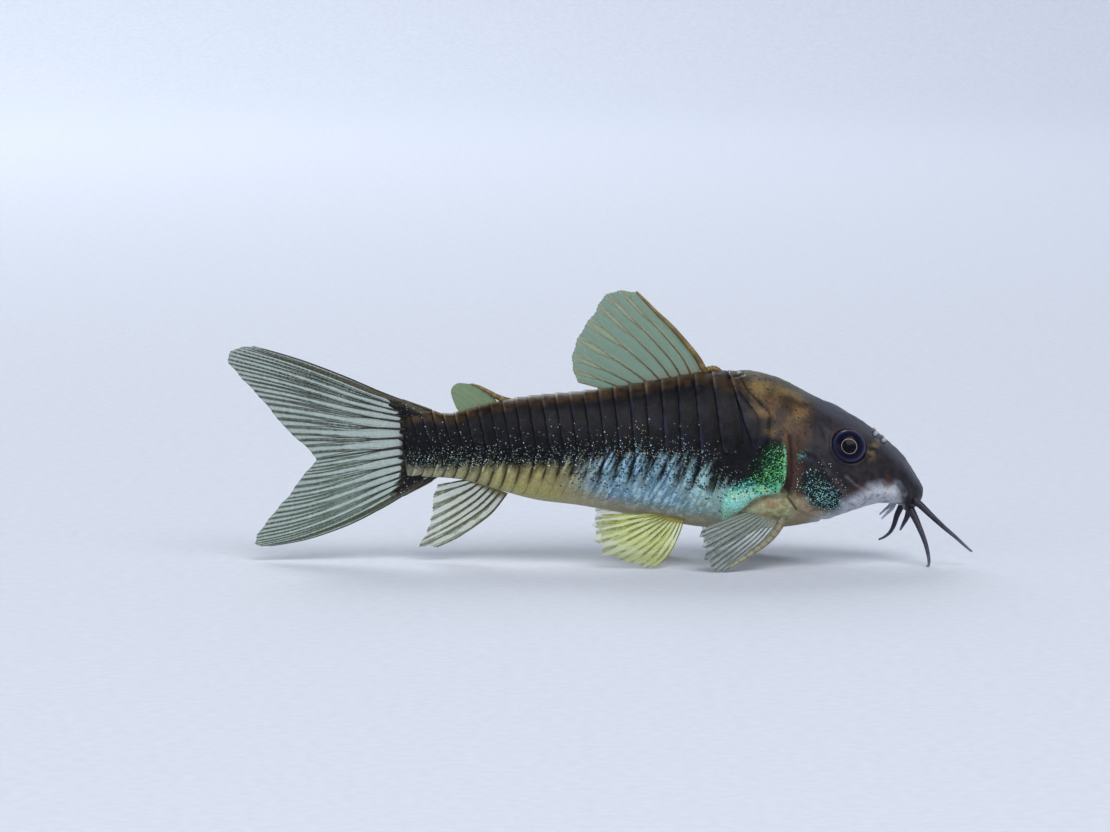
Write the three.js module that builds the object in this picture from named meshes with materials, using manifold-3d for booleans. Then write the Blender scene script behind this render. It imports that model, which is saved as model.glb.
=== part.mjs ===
// A bronze corydoras, an armoured catfish, at life size and standing on its paired fins.
// Millimetres, +Z up, +X towards the snout, +Y the fish's left. The floor is z = 0, and the
// origin lies on it under the middle of the fish.
// The body is one closed form parted by thin curved cuts. Each fin is a thin fan with a low
// ridge for each ray, and each barbel and fin spine is a tapered rod.
import * as THREE from "three";
import { ParametricGeometry } from "three/addons/geometries/ParametricGeometry.js";
import { mergeVertices } from "three/addons/utils/BufferGeometryUtils.js";
import Module from "manifold-3d";

// Driving dimensions
const SNOUT_X = 30.9; // front of the snout
const TAIL_X = -18.6; // rear of the tail stalk, where the tail fin starts
const SNOUT_Z = 6.7; // height of the snout's foremost point
const TAIL_Z = 11.0; // height of the middle of the tail stalk's end
const SNOUT_ROUND = 1.9; // length over which the snout rounds off
const TAIL_ROUND = 0.4; // length over which the stalk's end rounds off
const BACK_POWER = 1.95; // section above the widest level: a little under an ellipse
const BELLY_POWER = 2.6; // section below it: squarer, so the belly is nearly flat
const GAP = 0.3; // clear space between neighbouring pieces
const GILL_CUT = { x: 18.1, z: 9, radius: 24 }; // the curved cut behind the gill cover
const STALK_CUT_X = -13.9; // the cut between trunk and tail stalk
const CUT_ARC = 0.5; // angle of the gill cut above and below its middle, in radians
const BODY_SIDES = 26; // facets round the body
const BODY_STEPS = 54; // facets along the body
const PLAIN_END = 27.6; // in front of this the facets crowd towards the snout
const PLAIN_SHARE = 0.86; // share of the facets along the body that lie behind it
const EYE = { x: 23.55, y: 4.0, z: 11.35, radius: 1.75, depth: 1.2 };
const EYE_FACING = [0.16, 0.9, 0.38]; // the way the left eye looks
const EYE_SIDES = 16; // facets round an eye
const EYE_RINGS = 10; // facets from the front of an eye to its back
const RAY_HALF = 0.42; // half thickness of a fin on a ray, at the root
const ADIPOSE_RAY_HALF = 0.3; // the same, for the small fin between dorsal and tail
const WEB_HALF = 0.27; // half thickness of a fin between its rays
const RAY_FADE = 0.6; // share of a ray's ridge that is gone at its tip
const FIN_ROWS = [0.36, 0.68]; // shares of a fin's length at which its sheet is cut
const RIM = 0.06; // share of a fin over which its rim closes
const NOTCH = 0.03; // how much shorter the fin is between its ray tips
const DORSAL_SPINE_RADII = [0.6, 0.3]; // each rod's radius at its root and at its tip
const ADIPOSE_SPINE_RADII = [0.42, 0.27];
const PECTORAL_SPINE_RADII = [0.62, 0.3];
const BARBEL_RADII = [0.36, 0.25];
const CHIN_BARBEL_RADII = [0.3, 0.25];
const ROD_SIDES = 8; // facets round a rod
const LONG_ROD = 10; // facets along a long rod
const SHORT_ROD = 6; // facets along a short one
const PAST_BODY = 2; // how far a cutting block reaches past the body
const BLOCK_DEPTH = 20; // the cutting blocks' size across the body
const STALK_BLOCK = 10; // length of the block that keeps the tail stalk
const FLOOR = { length: 90, width: 40, depth: 2 }; // block that flattens the fins' feet

// Body stations from the tail to the snout: place along X, heights of the back, of the
// belly and of the widest level, and half the width there.
const STATIONS = [
  { x: -18.6, back: 14.0, belly: 8.0, wide: 11.0, half: 0.9 },
  { x: -16.0, back: 14.45, belly: 7.9, wide: 11.1, half: 1.5 },
  { x: -14.5, back: 14.2, belly: 7.85, wide: 11.0, half: 2.0 },
  { x: -12.5, back: 14.6, belly: 7.6, wide: 11.0, half: 2.5 },
  { x: -10.0, back: 15.3, belly: 6.85, wide: 10.8, half: 3.0 },
  { x: -6.0, back: 15.95, belly: 5.8, wide: 10.4, half: 3.75 },
  { x: -2.0, back: 16.3, belly: 5.3, wide: 9.9, half: 4.35 },
  { x: 2.0, back: 16.85, belly: 4.6, wide: 9.4, half: 4.9 },
  { x: 6.0, back: 17.5, belly: 3.85, wide: 8.8, half: 5.4 },
  { x: 10.0, back: 18.2, belly: 3.25, wide: 8.3, half: 6.0 },
  { x: 14.0, back: 18.3, belly: 3.2, wide: 8.0, half: 6.6 },
  { x: 17.0, back: 17.6, belly: 3.4, wide: 7.9, half: 6.75 },
  { x: 20.0, back: 16.1, belly: 3.8, wide: 7.9, half: 6.3 },
  { x: 23.0, back: 14.65, belly: 4.6, wide: 7.8, half: 5.6 },
  { x: 26.0, back: 12.8, belly: 5.6, wide: 7.7, half: 4.6 },
  { x: 28.2, back: 10.9, belly: 5.6, wide: 7.3, half: 3.6 },
  { x: 29.6, back: 9.4, belly: 4.9, wide: 6.9, half: 2.95 },
  { x: 30.9, back: 8.1, belly: 5.0, wide: 6.7, half: 2.4 },
];

const wasm = await Module();
wasm.setup();

// Materials, one for each kind of surface
const finish = (color, roughness) =>
  new THREE.MeshStandardMaterial({ color, roughness, metalness: 0 });
const DARK_HIDE = finish(0x2e2628, 0.45);
const FLANK_HIDE = finish(0x3a3338, 0.42);
const EYE_FINISH = finish(0x14122c, 0.12);
const SPINE_FINISH = finish(0x8a6020, 0.5);
const CLEAR_FIN = finish(0x8f9478, 0.5);
const YELLOW_FIN = finish(0xc4c060, 0.5);
const BARBEL_FINISH = finish(0x4a3a3c, 0.5);

// A smooth value between the stations, by the slopes of a Catmull-Rom curve.
function stationValue(x, key) {
  const last = STATIONS.length - 1;
  let i = 0;
  while (i < last - 1 && x > STATIONS[i + 1].x) i += 1;
  const [a, b] = [STATIONS[i], STATIONS[i + 1]];
  const before = STATIONS[Math.max(i - 1, 0)];
  const after = STATIONS[Math.min(i + 2, last)];
  const span = b.x - a.x;
  const t = THREE.MathUtils.clamp((x - a.x) / span, 0, 1);
  const slopeA = (b[key] - before[key]) / (b.x - before.x);
  const slopeB = (after[key] - a[key]) / (after.x - a.x);
  const [t2, t3] = [t * t, t * t * t];
  return (
    (2 * t3 - 3 * t2 + 1) * a[key] +
    (t3 - 2 * t2 + t) * span * slopeA +
    (3 * t2 - 2 * t3) * b[key] +
    (t3 - t2) * span * slopeB
  );
}

// The body's section at x shrinks to a point at both ends.
function endRound(x) {
  const front = THREE.MathUtils.clamp((x - SNOUT_X + SNOUT_ROUND) / SNOUT_ROUND, 0, 1);
  const rear = THREE.MathUtils.clamp((TAIL_X + TAIL_ROUND - x) / TAIL_ROUND, 0, 1);
  return Math.sqrt(1 - front * front) * Math.sqrt(1 - rear * rear);
}

// A point on the body: angle in turns from the left side up over the back, and x.
function bodyPoint(turn, x, grow) {
  const round = endRound(x);
  const endZ = x > 0 ? SNOUT_Z : TAIL_Z;
  const level = THREE.MathUtils.lerp(endZ, stationValue(x, "wide"), round);
  const angle = turn * 2 * Math.PI;
  const up = Math.sin(angle) >= 0;
  const rise = up ? stationValue(x, "back") : stationValue(x, "belly");
  const height = Math.abs(THREE.MathUtils.lerp(endZ, rise, round) - level) + grow;
  const width = stationValue(x, "half") * round + grow;
  const power = 2 / (up ? BACK_POWER : BELLY_POWER);
  const bend = (value) => Math.sign(value) * Math.abs(value) ** power;
  return new THREE.Vector3(x, width * bend(Math.cos(angle)), level + height * bend(Math.sin(angle)));
}

// A closed geometry from a function of two grid numbers, with its doubled points merged
// and its flat slivers removed, facing outwards.
function shell(place, around, along) {
  const grid = new ParametricGeometry(
    (u, v, target) => target.copy(place(Math.round(u * around), Math.round(v * along))),
    around,
    along,
  );
  grid.deleteAttribute("normal");
  grid.deleteAttribute("uv");
  const welded = mergeVertices(grid, 1e-4);
  const { array } = welded.index;
  const kept = [];
  for (let i = 0; i < array.length; i += 3) {
    const [a, b, c] = [array[i], array[i + 1], array[i + 2]];
    if (a !== b && b !== c && c !== a) kept.push(a, b, c);
  }
  const position = welded.getAttribute("position");
  const corner = [0, 1, 2].map(() => new THREE.Vector3());
  let volume = 0;
  for (let i = 0; i < kept.length; i += 3) {
    corner.forEach((point, k) => point.fromBufferAttribute(position, kept[i + k]));
    volume += corner[0].dot(corner[1].cross(corner[2]));
  }
  if (volume < 0) kept.reverse();
  welded.setIndex(kept);
  return welded;
}

// A geometry as a solid that can be joined and cut, and back.
function solid(geometry) {
  const bare = geometry.clone();
  bare.deleteAttribute("normal");
  bare.deleteAttribute("uv");
  const welded = mergeVertices(bare, 1e-4);
  return new wasm.Manifold(
    new wasm.Mesh({
      numProp: 3,
      vertProperties: new Float32Array(welded.getAttribute("position").array),
      triVerts: new Uint32Array(welded.index.array),
    }),
  );
}

function meshOf(name, shape, material) {
  const { vertProperties, triVerts } = shape.getMesh();
  const geometry = new THREE.BufferGeometry();
  geometry.setAttribute("position", new THREE.BufferAttribute(vertProperties, 3));
  geometry.setIndex(new THREE.BufferAttribute(triVerts, 1));
  geometry.computeVertexNormals();
  const mesh = new THREE.Mesh(geometry, material);
  mesh.name = name;
  return mesh;
}

// The whole body, grown by a margin. Rings lie closer together at the rounded snout.
function bodySolid(grow) {
  const rear = TAIL_X - grow;
  const front = SNOUT_X + grow;
  const xOf = (step) => {
    const share = step / BODY_STEPS;
    if (share < PLAIN_SHARE) return THREE.MathUtils.lerp(rear, PLAIN_END, share / PLAIN_SHARE);
    const eased = Math.sin((((share - PLAIN_SHARE) / (1 - PLAIN_SHARE)) * Math.PI) / 2);
    return THREE.MathUtils.lerp(PLAIN_END, front, eased);
  };
  const place = (side, step) => {
    if (step === 0) return new THREE.Vector3(rear, 0, TAIL_Z);
    if (step === BODY_STEPS) return new THREE.Vector3(front, 0, SNOUT_Z);
    return bodyPoint((side % BODY_SIDES) / BODY_SIDES, xOf(step), grow);
  };
  return solid(shell(place, BODY_SIDES, BODY_STEPS));
}

// A block as deep as the body is wide, whose front or rear face is the curved gill cut.
function gillBlock(towardsHead) {
  const { x, z, radius } = GILL_CUT;
  const face = radius + (towardsHead ? -GAP / 2 : GAP / 2);
  const shape = new THREE.Shape();
  const tall = face * Math.sin(CUT_ARC);
  const far = towardsHead ? SNOUT_X + PAST_BODY : STALK_CUT_X + GAP / 2;
  shape.moveTo(far, z - tall);
  shape.lineTo(far, z + tall);
  shape.absarc(x + radius, z, face, Math.PI - CUT_ARC, Math.PI + CUT_ARC, false);
  const extrusion = { depth: BLOCK_DEPTH, bevelEnabled: false, curveSegments: 10 };
  const block = new THREE.ExtrudeGeometry(shape, extrusion);
  block.rotateX(Math.PI / 2).translate(0, BLOCK_DEPTH / 2, 0);
  return solid(block);
}

function boxSolid(width, depth, height, x, y, z) {
  return solid(new THREE.BoxGeometry(width, depth, height).translate(x, y, z));
}

// A tapered rod along a smooth curve through a few points, with pointed ends, grown by a
// margin where it serves to part a fin from its spine.
function rod(points, [rootRadius, tipRadius], steps = LONG_ROD, grow = 0) {
  const curve = new THREE.CatmullRomCurve3(points.map((point) => new THREE.Vector3(...point)));
  const frames = curve.computeFrenetFrames(steps, false);
  const place = (side, step) => {
    const share = step / steps;
    const centre = curve.getPointAt(share);
    const round = step === 0 || step === steps ? 0 : 1;
    const radius = (THREE.MathUtils.lerp(rootRadius, tipRadius, share) + grow) * round;
    const angle = ((side % ROD_SIDES) / ROD_SIDES) * 2 * Math.PI;
    return centre
      .addScaledVector(frames.normals[step], radius * Math.cos(angle))
      .addScaledVector(frames.binormals[step], radius * Math.sin(angle));
  };
  return solid(shell(place, ROD_SIDES, steps));
}

// A fin: a thin fan between a root line and an edge line, with a ridge on each ray. The
// leading rays bow by `bow` half way out, and the bow fades towards the last ray.
function fin({ root, edge, rays, bow = [0, 0, 0], facing, rayHalf = RAY_HALF }) {
  const rootLine = new THREE.CatmullRomCurve3(root.map((point) => new THREE.Vector3(...point)));
  const edgeLine = new THREE.CatmullRomCurve3(edge.map((point) => new THREE.Vector3(...point)));
  const bowed = new THREE.Vector3(...bow);
  const across = [{ share: 0, ridge: 0, rim: true }];
  const columns = 2 * rays - 2;
  for (let i = 0; i <= columns; i += 1) {
    const inner = THREE.MathUtils.lerp(RIM / 2, 1 - RIM / 2, i / columns);
    across.push({ share: inner, ridge: i % 2 === 0 ? 1 : 0, rim: false });
  }
  across.push({ share: 1, ridge: 0, rim: true });
  const along = [0, RIM, ...FIN_ROWS, 1 - RIM, 1];
  const last = across.length - 1;
  const slices = 2 * last;
  const middle = ({ share, ridge, rim }, v) => {
    const reach = v * (ridge || rim ? 1 : 1 - NOTCH);
    const out = rootLine.getPoint(share).lerp(edgeLine.getPoint(share), reach);
    return out.addScaledVector(bowed, 4 * reach * (1 - reach) * (1 - share));
  };
  const place = (slice, row) => {
    const index = slice <= last ? slice : slices - slice;
    const side = slice <= last ? 1 : -1;
    const column = across[index];
    const v = along[row];
    const closed = column.rim || row === 0 || row === along.length - 1;
    const ridge = column.ridge * (1 - RAY_FADE * v);
    const half = closed ? 0 : THREE.MathUtils.lerp(WEB_HALF, rayHalf, ridge);
    return middle(column, v).addScaledVector(facing, side * half);
  };
  return solid(shell(place, slices, along.length - 1));
}

const SIDEWAYS = new THREE.Vector3(0, 1, 0);
const body = bodySolid(0);
const clearBody = bodySolid(GAP);
const floorBlock = boxSolid(FLOOR.length, FLOOR.width, FLOOR.depth, 0, 0, -FLOOR.depth / 2);
const fish = new THREE.Group();
const add = (name, shape, material) => fish.add(meshOf(name, shape, material));

// Body: head, trunk and tail stalk, with a socket in the head for each eye
function eyeSolid(side, grow) {
  const [x, y, z] = EYE_FACING;
  const facing = new THREE.Vector3(x, side * y, z).normalize();
  const turned = new THREE.Quaternion().setFromUnitVectors(new THREE.Vector3(0, 0, 1), facing);
  const size = new THREE.Vector3(EYE.radius + grow, EYE.radius + grow, EYE.depth + grow);
  const at = new THREE.Vector3(EYE.x, side * EYE.y, EYE.z);
  const ball = (i, j) => {
    const polar = (j / EYE_RINGS) * Math.PI;
    const turn = ((i % EYE_SIDES) / EYE_SIDES) * 2 * Math.PI;
    const ring = j === 0 || j === EYE_RINGS ? 0 : Math.sin(polar);
    return new THREE.Vector3(ring * Math.cos(turn), ring * Math.sin(turn), Math.cos(polar));
  };
  const placed = new THREE.Matrix4().compose(at, turned, size);
  return solid(shell(ball, EYE_SIDES, EYE_RINGS).applyMatrix4(placed));
}

const sockets = [1, -1].map((side) => eyeSolid(side, GAP / 2));
const head = body.intersect(gillBlock(true)).subtract(sockets[0]).subtract(sockets[1]);
const stalkBlock = boxSolid(
  STALK_BLOCK, BLOCK_DEPTH, BLOCK_DEPTH,
  STALK_CUT_X - GAP / 2 - STALK_BLOCK / 2, 0, BLOCK_DEPTH / 2,
);
add("head", head, DARK_HIDE);
add("trunk", body.intersect(gillBlock(false)), FLANK_HIDE);
add("tail_stalk", body.intersect(stalkBlock), FLANK_HIDE);
add("eye_left", eyeSolid(1, 0), EYE_FINISH);
add("eye_right", eyeSolid(-1, 0), EYE_FINISH);

// Fins on the middle plane
const dorsalSpine = [
  [10.4, 0, 17.3],
  [9.2, 0, 19.7],
  [7.1, 0, 22.2],
  [5.6, 0, 23.6],
  [4.3, 0, 24.9],
];
const dorsalFin = fin({
  root: [[9.9, 0, 17.4], [6, 0, 16.9], [1.2, 0, 16.0]],
  edge: [
    [3.6, 0, 25.7], [1.9, 0, 25.9], [0.4, 0, 25.3], [-0.4, 0, 23.9],
    [-1.7, 0, 22], [-2.5, 0, 20], [-2.5, 0, 18.4], [-2, 0, 17.1],
  ],
  rays: 9,
  bow: [0.35, 0, 0.2],
  facing: SIDEWAYS,
});
const clearDorsalSpine = rod(dorsalSpine, DORSAL_SPINE_RADII, LONG_ROD, GAP);
add("dorsal_spine", rod(dorsalSpine, DORSAL_SPINE_RADII).subtract(clearBody), SPINE_FINISH);
add("dorsal_fin", dorsalFin.subtract(clearBody).subtract(clearDorsalSpine), CLEAR_FIN);

const adiposeSpine = [[-9, 0, 14.9], [-10.2, 0, 16.0], [-11.2, 0, 16.6], [-12.2, 0, 16.9]];
const adiposeFin = fin({
  root: [[-9.9, 0, 14.9], [-11.6, 0, 14.4], [-12.9, 0, 14.1]],
  edge: [[-12.1, 0, 16.9], [-13.4, 0, 17], [-14, 0, 16.4], [-13.9, 0, 15.6], [-13.4, 0, 14.7]],
  rays: 3,
  facing: SIDEWAYS,
  rayHalf: ADIPOSE_RAY_HALF,
});
const adiposeRod = rod(adiposeSpine, ADIPOSE_SPINE_RADII, SHORT_ROD);
const clearAdiposeSpine = rod(adiposeSpine, ADIPOSE_SPINE_RADII, SHORT_ROD, GAP);
add("adipose_spine", adiposeRod.subtract(clearBody), SPINE_FINISH);
add("adipose_fin", adiposeFin.subtract(clearBody).subtract(clearAdiposeSpine), CLEAR_FIN);

const tailUpper = fin({
  root: [[-15.8, 0, 14.0], [-17.9, 0, 13.2], [-18.5, 0, 11.15]],
  edge: [
    [-33.6, 0, 20.7], [-35.4, 0, 19.4], [-33.6, 0, 17.1], [-32, 0, 15.5],
    [-30.7, 0, 13.8], [-29.3, 0, 12.2], [-27.8, 0, 11.1], [-26.8, 0, 9.85],
  ],
  rays: 8,
  bow: [0, 0, 0.5],
  facing: SIDEWAYS,
});
const tailLower = fin({
  root: [[-16.0, 0, 8.0], [-17.9, 0, 8.8], [-18.5, 0, 10.85]],
  edge: [
    [-31.4, 0, 1.4], [-33, 0, 1.7], [-32, 0, 3.5], [-30.7, 0, 5],
    [-29.4, 0, 6.4], [-28.3, 0, 8], [-27.6, 0, 8.8], [-26.8, 0, 9.5],
  ],
  rays: 8,
  bow: [0, 0, -0.9],
  facing: SIDEWAYS,
});
add("caudal_fin_upper", tailUpper.subtract(clearBody), CLEAR_FIN);
add("caudal_fin_lower", tailLower.subtract(clearBody), CLEAR_FIN);

const analFin = fin({
  root: [[-8.6, 0, 6.9], [-10.5, 0, 7.6], [-12.5, 0, 8.2]],
  edge: [
    [-15.6, 0, 1.2], [-17.3, 0, 1.4], [-16.8, 0, 2.2], [-16.3, 0, 3.4],
    [-16, 0, 4.6], [-15.8, 0, 6.2], [-15.4, 0, 7.3],
  ],
  rays: 8,
  bow: [0.5, 0, -0.45],
  facing: SIDEWAYS,
});
add("anal_fin", analFin.subtract(clearBody), CLEAR_FIN);

// Paired fins, on which the fish stands, and the barbels at its mouth. Points are given
// for the left side, and `mirror` turns them over for the right.
const mirror = (points, side) => points.map(([x, y, z]) => [x, side * y, z]);
const PECTORAL_SPINE = [
  [17.5, 5.1, 5.4], [17.0, 6.2, 4.1], [16.0, 7.0, 2.9], [14.6, 7.7, 1.9], [12.9, 8.4, 0.9],
];
const PECTORAL = {
  root: [[17.3, 5.2, 4.9], [16.7, 5.2, 5.6], [16.2, 5.2, 6.1]],
  edge: [
    [12.5, 8.6, 0.5], [11.6, 8.8, -0.2], [10.6, 8.9, -0.15], [10, 8.9, 0.8],
    [9.6, 8.7, 2.1], [9.4, 8.2, 3.2], [9.6, 7.7, 4.1],
  ],
  bow: [0.9, 0.1, -0.1],
  facing: [0.25, 0.8, 0.55],
};
const PELVIC = {
  root: [[8.1, 3.6, 4.9], [7.1, 3.5, 5.1], [6.1, 3.3, 5.3]],
  edge: [
    [4.9, 6.1, -0.25], [3.8, 6.2, -0.1], [2.2, 6.1, 0.5], [0.8, 6.1, 1],
    [-0.5, 5.9, 2.1], [-0.8, 5.6, 3.6], [-0.1, 5.1, 5.1],
  ],
  bow: [1, 0.1, -0.3],
  facing: [0.2, 0.93, 0.3],
};
const BARBELS = {
  upper_right: [
    [29.4, -1.8, 6.3], [30.5, -2.5, 5.6], [31.5, -2.9, 4.7], [32.6, -3.2, 3.7],
    [33.8, -3.5, 2.7], [34.8, -3.7, 1.8], [35.4, -3.8, 1.3],
  ],
  lower_right: [
    [29.4, -1.5, 5.3], [29.9, -2.2, 4.5], [30.4, -2.9, 3.5], [30.9, -3.5, 2.2],
    [31.2, -3.9, 0.9], [31.2, -4.3, 0.2], [31, -4.9, 0.18],
  ],
  upper_left: [
    [29.5, 2.2, 6.1], [29.15, 2.8, 5.3], [28.6, 3.1, 4.1], [28.3, 3.2, 3.1],
    [27.95, 3.3, 2.4], [27.4, 3.4, 1.9], [26.8, 3.5, 1.6],
  ],
  lower_left: [[29.8, 1.1, 5.3], [29.5, 1.5, 4.2], [29.1, 1.8, 3.3], [28.8, 1.9, 2.7]],
};
const CHIN_BARBEL = [[28.3, 1.0, 6.2], [27.9, 1.3, 5.3], [27.3, 1.6, 4.7], [26.8, 1.8, 4.2]];

for (const [name, side] of [["left", 1], ["right", -1]]) {
  const facingOf = ([x, y, z]) => new THREE.Vector3(x, side * y, z).normalize();
  const spine = mirror(PECTORAL_SPINE, side);
  const pectoral = fin({
    root: mirror(PECTORAL.root, side),
    edge: mirror(PECTORAL.edge, side),
    bow: mirror([PECTORAL.bow], side)[0],
    facing: facingOf(PECTORAL.facing),
    rays: 7,
  });
  const pelvic = fin({
    root: mirror(PELVIC.root, side),
    edge: mirror(PELVIC.edge, side),
    bow: mirror([PELVIC.bow], side)[0],
    facing: facingOf(PELVIC.facing),
    rays: 6,
  });
  const clearSpine = rod(spine, PECTORAL_SPINE_RADII, LONG_ROD, GAP);
  const spineRod = rod(spine, PECTORAL_SPINE_RADII);
  const fan = pectoral.subtract(clearBody).subtract(clearSpine).subtract(floorBlock);
  const chinBarbel = rod(mirror(CHIN_BARBEL, side), CHIN_BARBEL_RADII, SHORT_ROD);
  add(`pectoral_spine_${name}`, spineRod.subtract(clearBody), SPINE_FINISH);
  add(`pectoral_fin_${name}`, fan, CLEAR_FIN);
  add(`pelvic_fin_${name}`, pelvic.subtract(clearBody).subtract(floorBlock), YELLOW_FIN);
  add(`chin_barbel_${name}`, chinBarbel.subtract(clearBody), BARBEL_FINISH);
}
for (const [name, points] of Object.entries(BARBELS)) {
  const shape = rod(points, BARBEL_RADII);
  add(`barbel_${name}`, shape.subtract(clearBody).subtract(floorBlock), BARBEL_FINISH);
}

export default fish;
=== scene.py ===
# %% [markdown]
# A bronze corydoras is a small armoured catfish. Two rows of bony plates cover each flank,
# its head is bone under thin skin, and its fins are clear skin held by branching rays.
# The frame gives the fish's true size and place, and this lesson dresses it, in metres.

# %% The frame
import math

import bmesh
import bpy
import numpy as np
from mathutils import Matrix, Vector, noise


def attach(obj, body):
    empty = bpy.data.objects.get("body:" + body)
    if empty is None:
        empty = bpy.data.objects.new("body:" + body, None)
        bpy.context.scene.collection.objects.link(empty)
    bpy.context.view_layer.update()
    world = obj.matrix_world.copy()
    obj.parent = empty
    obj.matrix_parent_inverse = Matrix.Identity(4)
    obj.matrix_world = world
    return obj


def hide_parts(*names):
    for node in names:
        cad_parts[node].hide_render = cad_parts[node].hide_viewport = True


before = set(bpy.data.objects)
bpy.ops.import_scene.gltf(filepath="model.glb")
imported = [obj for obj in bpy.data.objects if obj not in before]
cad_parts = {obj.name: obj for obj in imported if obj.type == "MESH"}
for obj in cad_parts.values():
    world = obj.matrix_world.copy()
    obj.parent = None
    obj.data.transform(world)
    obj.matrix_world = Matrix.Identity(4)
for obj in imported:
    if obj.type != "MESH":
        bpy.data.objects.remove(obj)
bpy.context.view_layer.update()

MM = 0.001

# %% [markdown]
# Colours are written as sRGB hex values, as a painter reads them off a screen, and one
# function turns them to the linear values that a shader adds up. Another small function
# adds a node, gives it its settings and makes its links, so a material reads as a recipe.
# A node that is given as an input stands for its first output, and inputs in brackets are
# taken in order. A Map Range's are the value, the two ends that it comes between and the
# two ends that it is moved to, and a Mix's inputs 6 and 7 are its two colours.


# %% Colours and nodes
def linear(code):
    parts = [int(code[i : i + 2], 16) / 255 for i in (1, 3, 5)]
    return np.array([c / 12.92 if c <= 0.04045 else ((c + 0.055) / 1.055) ** 2.4 for c in parts])


def rgba(code):
    return (*linear(code), 1.0)


def add(tree, kind, inputs=(), **settings):
    node = tree.nodes.new("ShaderNode" + kind)
    for key, value in settings.items():
        setattr(node, key, value)
    for key, value in inputs.items() if isinstance(inputs, dict) else enumerate(inputs):
        if isinstance(value, bpy.types.Node):
            value = value.outputs[0]
        if isinstance(value, bpy.types.NodeSocket):
            tree.links.new(value, node.inputs[key])
        else:
            node.inputs[key].default_value = value
    return node


def start_material(name):
    material = bpy.data.materials.new(name)
    material.use_nodes = True
    material.node_tree.nodes.clear()
    return material, material.node_tree


def finish_material(material, inputs):
    shader = add(material.node_tree, "BsdfPrincipled", inputs)
    add(material.node_tree, "OutputMaterial", {"Surface": shader})
    return material


def ramp(tree, value, stops):
    node = add(tree, "ValToRGB", {"Fac": value})
    edge = node.color_ramp.elements
    while len(edge) < len(stops):
        edge.new(0.5)
    for element, (place, colour) in zip(edge, stops):
        element.position = place
        element.color = rgba(colour) if isinstance(colour, str) else (*colour, 1)
    return node


print("a mid grey is", linear("#808080").round(3), "in linear values")


# %% [markdown]
# The body's form comes from named sections, as a boat's does from its stations: at each
# place along the fish they give the back, the belly, the widest level and half the width.
# A smooth curve runs through them, and each section is a little squarer below than above.

# %% The body's form
SNOUT_X, SNOUT_Z, SNOUT_ROUND = 30.9, 6.7, 1.9
TAIL_X, TAIL_Z, TAIL_ROUND = -18.6, 11.0, 0.4
BACK_POWER, BELLY_POWER = 1.95, 2.6
COLUMNS = ("x", "back", "belly", "wide", "half")
STATIONS = np.array([
    (-18.6, 14.0, 8.0, 11.0, 0.9),
    (-16.0, 14.45, 7.9, 11.1, 1.5),
    (-14.5, 14.2, 7.85, 11.0, 2.0),
    (-12.5, 14.6, 7.6, 11.0, 2.5),
    (-10.0, 15.3, 6.85, 10.8, 3.0),
    (-6.0, 15.95, 5.8, 10.4, 3.75),
    (-2.0, 16.3, 5.3, 9.9, 4.35),
    (2.0, 16.85, 4.6, 9.4, 4.9),
    (6.0, 17.5, 3.85, 8.8, 5.4),
    (10.0, 18.2, 3.25, 8.3, 6.0),
    (14.0, 18.3, 3.2, 8.0, 6.6),
    (17.0, 17.6, 3.4, 7.9, 6.75),
    (20.0, 16.1, 3.8, 7.9, 6.3),
    (23.0, 14.65, 4.6, 7.8, 5.6),
    (26.0, 12.8, 5.6, 7.7, 4.6),
    (28.2, 10.9, 5.6, 7.3, 3.6),
    (29.6, 9.4, 4.9, 6.9, 2.95),
    (30.9, 8.1, 5.0, 6.7, 2.4),
])


def station(x, name):
    xs = STATIONS[:, 0]
    ys = STATIONS[:, COLUMNS.index(name)]
    slope = np.gradient(ys, xs)
    slope[1:-1] = (ys[2:] - ys[:-2]) / (xs[2:] - xs[:-2])
    x = np.clip(x, xs[0], xs[-1])
    i = np.clip(np.searchsorted(xs, x, side="right") - 1, 0, len(xs) - 2)
    span = xs[i + 1] - xs[i]
    t = (x - xs[i]) / span
    rise = 3 * t**2 - 2 * t**3
    tangents = (t**3 - 2 * t**2 + t) * slope[i] + (t**3 - t**2) * slope[i + 1]
    return (1 - rise) * ys[i] + rise * ys[i + 1] + span * tangents


def body_point(turn, x):
    front = np.clip((x - SNOUT_X + SNOUT_ROUND) / SNOUT_ROUND, 0, 1)
    rear = np.clip((TAIL_X + TAIL_ROUND - x) / TAIL_ROUND, 0, 1)
    shrink = np.sqrt(1 - front**2) * np.sqrt(1 - rear**2)
    end_z = np.where(x > 0, SNOUT_Z, TAIL_Z)
    level = end_z + (station(x, "wide") - end_z) * shrink
    cos = np.cos(turn * 2 * np.pi)
    sin = np.sin(turn * 2 * np.pi)
    rise = np.where(sin >= 0, station(x, "back"), station(x, "belly"))
    height = np.abs(end_z + (rise - end_z) * shrink - level)
    power = 2 / np.where(sin >= 0, BACK_POWER, BELLY_POWER)
    y = station(x, "half") * shrink * np.sign(cos) * np.abs(cos) ** power
    z = level + height * np.sign(sin) * np.abs(sin) ** power
    return np.stack([x, y, z], axis=1)


def body_normal(turn, x):
    step = 1e-3
    round_body = body_point(turn + step, x) - body_point(turn - step, x)
    along_body = body_point(turn, x + step) - body_point(turn, x - step)
    normal = np.cross(round_body, along_body)
    return normal / np.maximum(np.linalg.norm(normal, axis=1, keepdims=True), 1e-9)


print("body section at the shoulder", body_point(np.array([0.0, 0.25]), np.array([17.0, 17.0])))

# %% [markdown]
# Many pieces here are a sheet of small faces laid over a shape: rolled into a tube for a
# barbel, wrapped round the body for the skin, or set down as one plate. A bmesh grid makes
# the sheet, a function of its two shares from 0 to 1 puts each vertex in its place, and
# merging the doubled vertices sews the edges that meet.


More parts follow.
